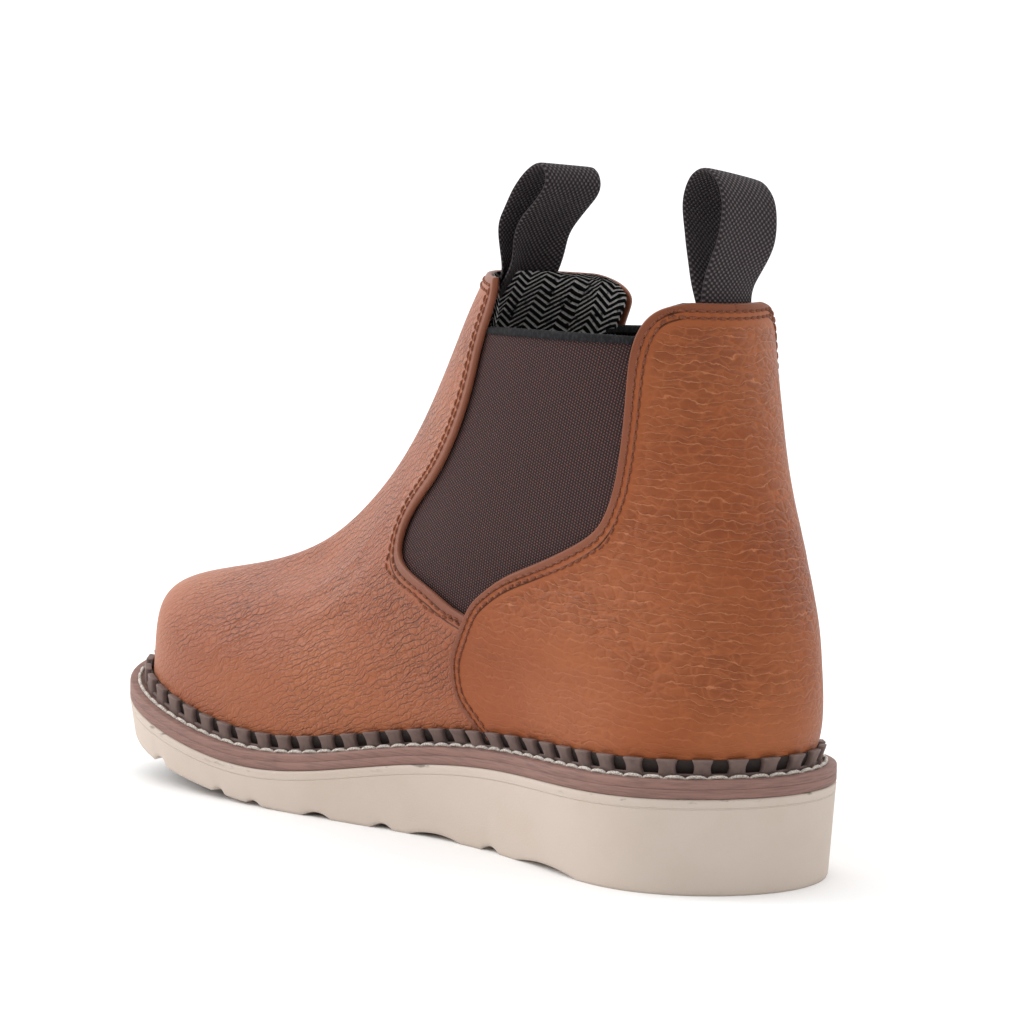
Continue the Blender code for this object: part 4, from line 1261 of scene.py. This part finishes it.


# creases: side, x and z shares, length and width in millimetres, slope in degrees, depth
CREASE_COLUMNS = ("side", "x", "z", "length", "width", "slope", "depth")
VAMP_CREASES = (
    (LEFT, 0.560, 0.330, 34, 2.4, -32, 0.20),
    (LEFT, 0.600, 0.270, 40, 2.8, -28, 0.25),
    (LEFT, 0.640, 0.235, 36, 2.2, -22, 0.18),
    (LEFT, 0.540, 0.240, 30, 2.6, -35, 0.18),
    (LEFT, 0.500, 0.200, 28, 3.0, -38, 0.14),
    (LEFT, 0.690, 0.200, 30, 2.4, -16, 0.16),
    (LEFT, 0.600, 0.180, 30, 2.4, -20, 0.14),
    (LEFT, 0.520, 0.430, 26, 3.0, -42, 0.14),
    (LEFT, 0.450, 0.130, 26, 2.8, -30, 0.11),
    (RIGHT, 0.580, 0.320, 36, 2.6, -30, 0.23),
    (RIGHT, 0.630, 0.260, 38, 2.6, -24, 0.23),
    (RIGHT, 0.540, 0.250, 30, 2.4, -34, 0.18),
    (RIGHT, 0.680, 0.210, 32, 2.4, -18, 0.16),
    (RIGHT, 0.600, 0.180, 28, 2.6, -22, 0.14),
    (RIGHT, 0.520, 0.420, 26, 3.0, -40, 0.14),
)
QUARTER_CREASES = (
    (LEFT, 0.135, 0.520, 34, 2.2, 6, 0.16),
    (LEFT, 0.125, 0.460, 38, 2.4, 4, 0.18),
    (LEFT, 0.145, 0.400, 34, 2.2, 8, 0.14),
    (LEFT, 0.150, 0.590, 28, 2.0, 5, 0.11),
    (LEFT, 0.115, 0.330, 34, 2.6, 3, 0.11),
    (RIGHT, 0.135, 0.510, 34, 2.2, 6, 0.16),
    (RIGHT, 0.125, 0.450, 38, 2.4, 4, 0.18),
    (RIGHT, 0.145, 0.390, 34, 2.2, 8, 0.14),
    (RIGHT, 0.150, 0.580, 28, 2.0, 5, 0.11),
)


CREASE_WAVE = 0.0012
CREASE_WAVE_LENGTH = 0.006
CREASE_SIDE_FADE = 0.012
RIDGE_HEIGHT = 0.45
RIDGE_PLACE = 2.1
UNEVEN_HEIGHT = 0.00018
QUARTER_UNEVEN = 0.011
VAMP_UNEVEN = 0.013


def creased(points, rows):
    """Relief of soft troughs with ridges beside them, placed in the boot's side view."""
    table = columns(CREASE_COLUMNS, rows)
    lift = np.zeros(points.shape[:-1])
    for k in range(len(rows)):
        x = points[..., 0] - table["x"][k] * SOLE_LENGTH
        z = points[..., 2] - (table["z"][k] * SHAFT_HEIGHT + FEATHER_BACK)
        slope = math.radians(table["slope"][k])
        along = x * math.cos(slope) + z * math.sin(slope)
        across = z * math.cos(slope) - x * math.sin(slope)
        across = across + CREASE_WAVE * np.sin(along / CREASE_WAVE_LENGTH + k)
        width = table["width"][k] * MM
        length = table["length"][k] * MM / 2
        facing = ease(points[..., 1] * table["side"][k] / CREASE_SIDE_FADE + 0.5)
        trough = np.exp(-(across / width) ** 2)
        ridge = np.exp(-((np.abs(across) - RIDGE_PLACE * width) / width) ** 2) * RIDGE_HEIGHT
        lift -= table["depth"][k] * MM * (trough - ridge) * np.exp(-(along / length) ** 2) * facing
    return lift


def wavy(points, scale, height):
    """Gentle unevenness of hand-lasted leather."""
    x, y, z = (points[..., a] / scale for a in range(3))
    wave = np.sin(x * 1.3 + 2.1 * np.sin(z * 0.7)) + np.sin(z * 1.7 + 1.6 * np.sin(y * 0.9 + x * 0.4))
    return height * wave / 2


def quarter_relief(points):
    """The quarter's face: its lap over the vamp, its creases and its unevenness."""
    return lap(points) + creased(points, QUARTER_CREASES) + wavy(points, QUARTER_UNEVEN, UNEVEN_HEIGHT)


def vamp_relief(points):
    """The vamp's face: its creases and its unevenness."""
    return creased(points, VAMP_CREASES) + wavy(points, VAMP_UNEVEN, UNEVEN_HEIGHT)


def loose_grain(points, front):
    """How coarse the grain shows: less on the tight toe and at the counter's foot."""
    x = points[..., 0] / SOLE_LENGTH
    z = (points[..., 2] - FEATHER_BACK) / SHAFT_HEIGHT
    if front:
        toe = 1 - 0.65 * ease((x - 0.80) / 0.10)
        low = 0.55 + 0.45 * ease((z - 0.02) / 0.16)
        return toe * low
    return 0.35 + 0.65 * ease((z - 0.22) / 0.14 + ease((0.20 - x) / 0.16))


def add_panel(name, made, finish, front):
    """Turns a panel's grid into a piece, with its values for the finish."""
    grid = made["points"]
    rows, count = grid.shape[:2]
    values = {"edge": edge_distance(made, rim_of(made)), "loose": loose_grain(grid, front).ravel()}
    faces = grid_faces(rows, count, flip=front)
    add_mesh(name, grid.reshape(-1, 3), faces, finish, ["upper"], values)


def add_stitch_rows(name, made, brown, lowest=0.0):
    """Two rows of stitches along a panel's edge, down to a height."""
    for i, row in enumerate((FIRST_ROW, SECOND_ROW)):
        path, up = stitch_path(made, row * MM)
        keep = path[:, 2] > lowest
        stitches(f"{name}_{i}", path[keep], up[keep], EDGE_STITCH, brown)


def make_quarter(brown):
    """Back panel: one piece of leather round the heel, turned and stitched at its edges."""
    made = panel(False, quarter_x, QUARTER_STEPS, quarter_relief)
    add_panel("quarter", made, leather("quarter_leather", **QUARTER_GRAIN), False)
    add_stitch_rows("quarter_stitches", made, brown)


def make_vamp(brown):
    """Front panel: toe, vamp and the tongue-like front of the collar in one piece."""
    made = panel(True, vamp_x, VAMP_STEPS, vamp_relief)
    add_panel("vamp", made, leather("vamp_leather", **VAMP_GRAIN), True)
    add_stitch_rows("vamp_stitches", made, brown, GORE_LOW_Z - VAMP_STITCH_TUCK)


# elastic, lining and loops

GORE_ROWS = 110
GORE_COLUMNS = 96
GORE_TUCK = 0.004
GORE_HIDDEN = 0.8 * GORE_MARGIN
GORE_PUFF = 0.0009
GORE_PUFF_RISE = 0.03
EDGING_SECTION = ((1.25, -1.9), (1.35, -1.2), (1.30, -0.4), (1.0, 0.15), (0.45, 0.45),
                  (-0.45, 0.45), (-1.0, 0.15), (-1.30, -0.4), (-1.35, -1.2), (-1.25, -1.9))


def gore_edges(z):
    """Rear and front x of the gore at a height, hidden under the leather on both sides."""
    rear = np.interp(z, *QUARTER_LINE) - GORE_HIDDEN
    front = np.interp(z, *(SEAM_LINE if z < GORE_LOW_Z else VAMP_GORE_LINE)) + GORE_HIDDEN
    return rear, front


def make_gore(side, name, node, elastic_finish, knit_finish):
    """Elastic panel behind the leather's opening, edged with black knit at its top."""
    rows, count = GORE_ROWS, GORE_COLUMNS
    top = FEATHER_BACK + GORE_HEIGHT
    low = GORE_LOW_Z - GORE_TUCK
    sections, across, up = [], [], []
    for z in np.linspace(low, top, rows):
        level = level_at_height(z, side)
        points, outward, walked = half_ring_at_height(z, side, level)
        x = np.linspace(*gore_edges(z), count)
        at = np.interp(x, points[:, 0], walked)
        spot = np.stack([np.interp(at, walked, points[:, a]) for a in range(3)], -1)
        out = unit(np.stack([np.interp(at, walked, outward[:, a]) for a in range(3)], -1))
        span = (at - at[0]) / max(at[-1] - at[0], 1e-6)
        puff = GORE_PUFF * np.sin(np.pi * span) ** 2 * ease((z - low) / GORE_PUFF_RISE)
        sections.append((spot, out, puff))
        across.append(at)
        up.append(np.full(count, z))
    depth = LEATHER + GAP
    outer = np.array([s - o * (depth - p)[:, None] for s, o, p in sections])
    inner = np.array([s - o * (depth + GORE_THICKNESS - p)[:, None] for s, o, p in sections])
    points = np.concatenate([outer.reshape(-1, 3), inner.reshape(-1, 3)])
    flip = side == LEFT
    front_faces = grid_faces(rows, count, flip=flip)
    back_faces = grid_faces(rows, count, flip=not flip) + rows * count
    last = (rows - 1) * count
    loop = np.concatenate([np.arange(count), np.arange(1, rows) * count + count - 1,
                           last + np.arange(count - 2, -1, -1), np.arange(rows - 2, 0, -1) * count])
    rim = [[a, b, b + rows * count, a + rows * count] for a, b in zip(loop, np.roll(loop, -1))]
    rim = [face[::-1] for face in rim] if not flip else rim
    faces = np.concatenate([front_faces, back_faces]).tolist() + rim
    values = {"across": np.tile(np.ravel(across), 2), "up": np.tile(np.ravel(up), 2)}
    add_mesh(name, points, faces, elastic_finish, [node], values)
    make_edging(name + "_edging", outer[-1], inner[-1], side, knit_finish)


def make_edging(name, outer, inner, side, finish):
    """Black knit binding folded over the gore's top edge."""
    middle = (outer + inner) / 2
    out = unit(outer - inner)
    rows = np.array([middle + out * off * MM + (0, 0, up * MM) for off, up in EDGING_SECTION])
    count = rows.shape[1]
    faces = grid_faces(len(rows), count, close_rows=True, flip=side == RIGHT).tolist()
    for end in (0, count - 1):
        cap = [k * count + end for k in range(len(rows))]
        faces.append(cap if (end == 0) == (side == LEFT) else cap[::-1])
    add_mesh(name, rows.reshape(-1, 3), faces, finish)


def level_at_height(z, side):
    """A middle level of the last whose rings reach a height near the gore."""
    levels = np.linspace(0, 1, 60)
    heights = [float(last_point(level, np.pi / 2, side)[2]) for level in levels]
    return float(np.interp(z, heights, levels))


LEVEL_FAN = np.linspace(-0.16, 0.16, 9)
HEIGHT_MISS = 0.0005
LINING_EDGE = (0.5, 1.5, 3.0, 6.0)
LINING_STEPS = (0.004, 0.003)
LINING_DEPTH = 0.0044
LINING_GAP = 0.00015
LINING_LEVEL = 0.6
LINING_LEVEL_FADE = 0.2
LOOP_POCKET = 0.0026
LOOP_POCKET_HALF = 0.0115
LOOP_POCKET_FADE = 0.004


def half_ring_at_height(z, side, level):
    """Points of the last all at one height, between the panels' edges, with their directions."""
    stack = [half_ring(float(np.clip(level + d, 0, 1)), side) for d in LEVEL_FAN]
    points = np.array([s[0] for s in stack])
    outward = np.array([s[1] for s in stack])
    made, out = [], []
    for j in range(points.shape[1]):
        heights = points[:, j, 2]
        made.append([np.interp(z, heights, points[:, j, a]) for a in range(3)])
        out.append([np.interp(z, heights, outward[:, j, a]) for a in range(3)])
    made = np.array(made)
    keep = np.abs(made[:, 2] - z) < HEIGHT_MISS
    made, out = made[keep], unit(np.array(out)[keep])
    return made, out, walk(made)


def lining_section(total, step):
    """Lining points: at the edge's inner corner, then in from it."""
    near = np.array(LINING_EDGE) * MM
    rest = np.linspace(near[-1], total, max(int((total - near[-1]) / step), 2) + 1)[1:]
    distance = np.concatenate([near, rest])
    return distance, np.zeros(len(distance))


def lining_relief(points):
    """The lining lies close to the leather at its top and stands over the loops' legs."""
    height = (points[..., 2] - FEATHER_BACK) / SHAFT_HEIGHT
    top = ease((height - 0.93) / 0.10)
    legs = 1 - ease((np.abs(points[..., 1]) - LOOP_POCKET_HALF) / LOOP_POCKET_FADE)
    legs = legs * ease((height - 0.80) / 0.06)
    return (LINING_DEPTH - LEATHER - LINING_GAP) * top * (1 - legs) - LOOP_POCKET * legs


def make_lining(front, edge_x, name, finish):
    """Knit inside the front or the back of the collar."""
    made = panel(front, edge_x, LINING_STEPS, lining_relief, LINING_DEPTH, lining_section)
    grid = made["points"]
    rows, count = grid.shape[:2]
    walked = np.array([walk(row) - walk(row)[count // 2] for row in grid])
    climbed = np.array([walk(grid[:, j]) for j in range(count)]).T
    values = {"across": walked.ravel(), "up": -climbed.ravel()}
    faces = grid_faces(rows, count, flip=not front)
    add_mesh(name, grid.reshape(-1, 3), faces, finish, None, values)


# free part of each loop: how far back or forward and how high, shares of its depth and height
BACK_LOOP_HEIGHT = 0.0398
BACK_LOOP_DEPTH = 0.0200
FRONT_LOOP_HEIGHT = 0.0358
FRONT_LOOP_LEAN = 0.0270
BACK_LOOP = (
    (-0.05, 0.20),
    (-0.22, 0.45),
    (-0.33, 0.68),
    (-0.26, 0.87),
    (-0.02, 0.98),
    (0.26, 0.97),
    (0.47, 0.86),
    (0.53, 0.67),
    (0.43, 0.44),
    (0.24, 0.21),
)
FRONT_LOOP = (
    (0.08, 0.30),
    (0.24, 0.58),
    (0.48, 0.82),
    (0.74, 0.96),
    (0.93, 0.97),
    (1.00, 0.86),
    (0.89, 0.73),
    (0.66, 0.59),
    (0.40, 0.38),
    (0.24, 0.18),
)
LOOP_TUCK = (0.925, 0.950, 0.975, 0.995)
LOOP_BOW = 1.25
LOOP_BOW_FADE = 0.55
LOOP_SPREAD = 0.9
BACK_LOOP_TILT = 0.17
FRONT_LOOP_TILT = 0.06
BACK_LOOP_MIDDLE = -0.0022
FRONT_LOOP_MIDDLE = RING_TABLE[-1, -1]
LOOP_POINTS = 240
LOOP_FACE_POINTS = 29
LOOP_EDGE_POWER = 14
LOOP_EDGE_THINNEST = 0.25
RIPPLE_SHARE = 0.006
RIPPLE_LENGTH = 0.0019
CURL = 0.0007
CURL_LENGTH = 0.017


def collar_bow(theta, middle, across):
    """How the inside of the collar's end curves away in x, across a loop's strip."""
    depth = LEATHER + GAP + WEBBING_THICKNESS
    turns = np.linspace(0, LOOP_SPREAD, 31)
    near = under_skin(LOOP_TUCK[-1], np.abs(theta - turns), LEFT, depth)
    far = under_skin(LOOP_TUCK[-1], np.abs(theta - turns), RIGHT, depth)
    inside = np.concatenate([far[:0:-1], near])
    return LOOP_BOW * (np.interp(middle + across, inside[:, 1], inside[:, 0]) - near[0, 0])


def make_loop(name, node, finish, theta, free, depth_size, height_size, middle, tilt):
    """Webbing pull loop: one strip with both legs tucked between the leather and the lining."""
    outer_depth = LEATHER + GAP + WEBBING_THICKNESS / 2
    inner_depth = outer_depth + WEBBING_THICKNESS + GAP
    outer_leg = [under_skin(v, theta, LEFT, outer_depth)[[0, 2]] for v in LOOP_TUCK]
    inner_leg = [under_skin(v, theta, LEFT, inner_depth)[[0, 2]] for v in LOOP_TUCK]
    foot = (outer_leg[-1] + inner_leg[-1]) / 2
    rise = [foot + (u * depth_size, h * height_size) for u, h in free]
    path = curve_through(np.array(outer_leg + rise + inner_leg[::-1]), LOOP_POINTS)
    held = 1 - ease((path[:, 1] - foot[1]) / height_size / LOOP_BOW_FADE)
    tangent = unit(np.gradient(path, axis=0))
    normal = np.column_stack([-tangent[:, 1], tangent[:, 0]])
    walked = walk(path)
    half = WEBBING_WIDTH / 2
    thick = WEBBING_THICKNESS / 2
    face = np.linspace(-1, 1, LOOP_FACE_POINTS)
    round_edge = np.sqrt(np.maximum(1 - np.abs(face) ** LOOP_EDGE_POWER, 0))
    round_edge = round_edge * (1 - LOOP_EDGE_THINNEST) + LOOP_EDGE_THINNEST
    across = np.concatenate([face, face[::-1]]) * half
    off = np.concatenate([round_edge, -round_edge[::-1]]) * thick
    bow = collar_bow(theta, middle, across)
    rows = []
    for k in range(len(path)):
        ripple = 1 + RIPPLE_SHARE * math.sin(walked[k] / RIPPLE_LENGTH)
        curl = CURL * math.sin(walked[k] / CURL_LENGTH) * (1 - held[k])
        reach = off + curl * (across / half) ** 2
        x = path[k, 0] + normal[k, 0] * reach + bow * held[k]
        z = path[k, 1] + normal[k, 1] * reach + tilt * (1 - held[k]) * across
        rows.append(np.column_stack([x, middle + across * ripple, z]))
    count = len(across)
    faces = grid_faces(len(path), count, close_columns=True, flip=True).tolist()
    last = (len(path) - 1) * count
    faces.append(list(range(count)))
    faces.append([last + k for k in range(count)][::-1])
    values = {"across": np.tile(across, len(path)), "up": np.repeat(walked, count)}
    add_mesh(name, np.concatenate(rows), faces, finish, [node], values)


# studio

BRIGHT_WALL = (0.87, -0.46, 0.20)
DIM_STRENGTH = 0.38
WALL_STRENGTH = 0.86
CEILING_STRENGTH = 0.75
WALL_START = -0.7
WALL_FULL = 0.9
KEY_PLACE = (1.1, 0.9, 0.9)
KEY_TARGET = (0.08, 0.0, 0.05)
KEY_SIZE = 0.8
KEY_POWER = 9.0
FLOOR_REACH = 6.0


def make_camera():
    """Camera at the photograph's place, looking at the boot from behind and its left."""
    forward = np.array((math.cos(CAMERA_ELEVATION) * math.cos(CAMERA_AZIMUTH),
                        -math.cos(CAMERA_ELEVATION) * math.sin(CAMERA_AZIMUTH),
                        -math.sin(CAMERA_ELEVATION)))
    right = unit(np.cross(forward, (0, 0, 1)))
    up = np.cross(right, forward)
    turned = right * math.cos(CAMERA_ROLL) + up * math.sin(CAMERA_ROLL)
    upright = up * math.cos(CAMERA_ROLL) - right * math.sin(CAMERA_ROLL)
    data = bpy.data.cameras.new("camera")
    data.lens = CAMERA_LENS
    data.sensor_width = SENSOR
    data.clip_start = 0.05
    data.clip_end = 50.0
    camera = bpy.data.objects.new("camera", data)
    place = CAMERA_TARGET - ORIGIN - forward * CAMERA_DISTANCE
    turn = Matrix((turned, upright, -forward)).transposed()
    camera.matrix_world = Matrix.Translation(Vector(place)) @ turn.to_4x4()
    bpy.context.scene.collection.objects.link(camera)
    bpy.context.scene.camera = camera


def make_lamp():
    """Soft square light that looks at the boot from its front left."""
    data = bpy.data.lights.new("key", "AREA")
    data.shape = "SQUARE"
    data.size = KEY_SIZE
    data.energy = KEY_POWER
    lamp = bpy.data.objects.new("key", data)
    lamp.location = KEY_PLACE
    lamp.rotation_euler = (Vector(KEY_TARGET) - Vector(KEY_PLACE)).to_track_quat("-Z", "Y").to_euler()
    bpy.context.scene.collection.objects.link(lamp)


def make_floor():
    """White floor."""
    mesh = bpy.data.meshes.new("floor")
    corners = [(x * FLOOR_REACH, y * FLOOR_REACH, 0) for x, y in ((-1, -1), (1, -1), (1, 1), (-1, 1))]
    mesh.from_pydata(corners, [], [(0, 1, 2, 3)])
    mesh.materials.append(floor_finish())
    floor = bpy.data.objects.new("floor", mesh)
    bpy.context.scene.collection.objects.link(floor)


def surroundings():
    """White studio walls, dimmer behind the camera and brighter ahead of it and above."""
    world = bpy.data.worlds.new("studio")
    walls = Nodes(world, "Background")
    towards = walls.node("TexCoord", output="Generated")
    ahead = walls.along(towards, BRIGHT_WALL)
    above = walls.along(towards, (0.0, 0.0, 1.0))
    wall = ahead.rise(WALL_START, WALL_FULL) * WALL_STRENGTH
    strength = DIM_STRENGTH + wall + above.top(0.0) * CEILING_STRENGTH
    walls.feed(walls.shader.inputs["Color"], (1.0, 1.0, 1.0, 1.0))
    walls.feed(walls.shader.inputs["Strength"], strength)
    bpy.context.scene.world = world
    bpy.context.scene.view_settings.view_transform = "Standard"


def main():
    make_camera()
    make_floor()
    surroundings()
    make_lamp()
    elastic_finish = elastic()
    webbing_finish = webbing()
    knit_finish = plain_cloth("knit_edging", EDGING_BLACK, EDGING_RIB)
    brown = thread("edge_thread", THREAD_BROWN)
    make_outsole()
    make_midsole()
    make_welt()
    make_insole()
    make_quarter(brown)
    make_vamp(brown)
    make_gore(LEFT, "elastic_left", "gore_left", elastic_finish, knit_finish)
    make_gore(RIGHT, "elastic_right", "gore_right", elastic_finish, knit_finish)
    make_lining(True, vamp_x, "lining_front", zigzag_knit())
    make_lining(False, quarter_x, "lining_back", plain_cloth("back_lining", LINING_BLACK, LINING_RIB))
    make_loop("loop_back", "pull_loop_back", webbing_finish, 0.0, BACK_LOOP, BACK_LOOP_DEPTH,
              BACK_LOOP_HEIGHT, BACK_LOOP_MIDDLE, BACK_LOOP_TILT)
    make_loop("loop_front", "pull_loop_front", webbing_finish, np.pi, FRONT_LOOP, -FRONT_LOOP_LEAN,
              FRONT_LOOP_HEIGHT, FRONT_LOOP_MIDDLE, FRONT_LOOP_TILT)


main()
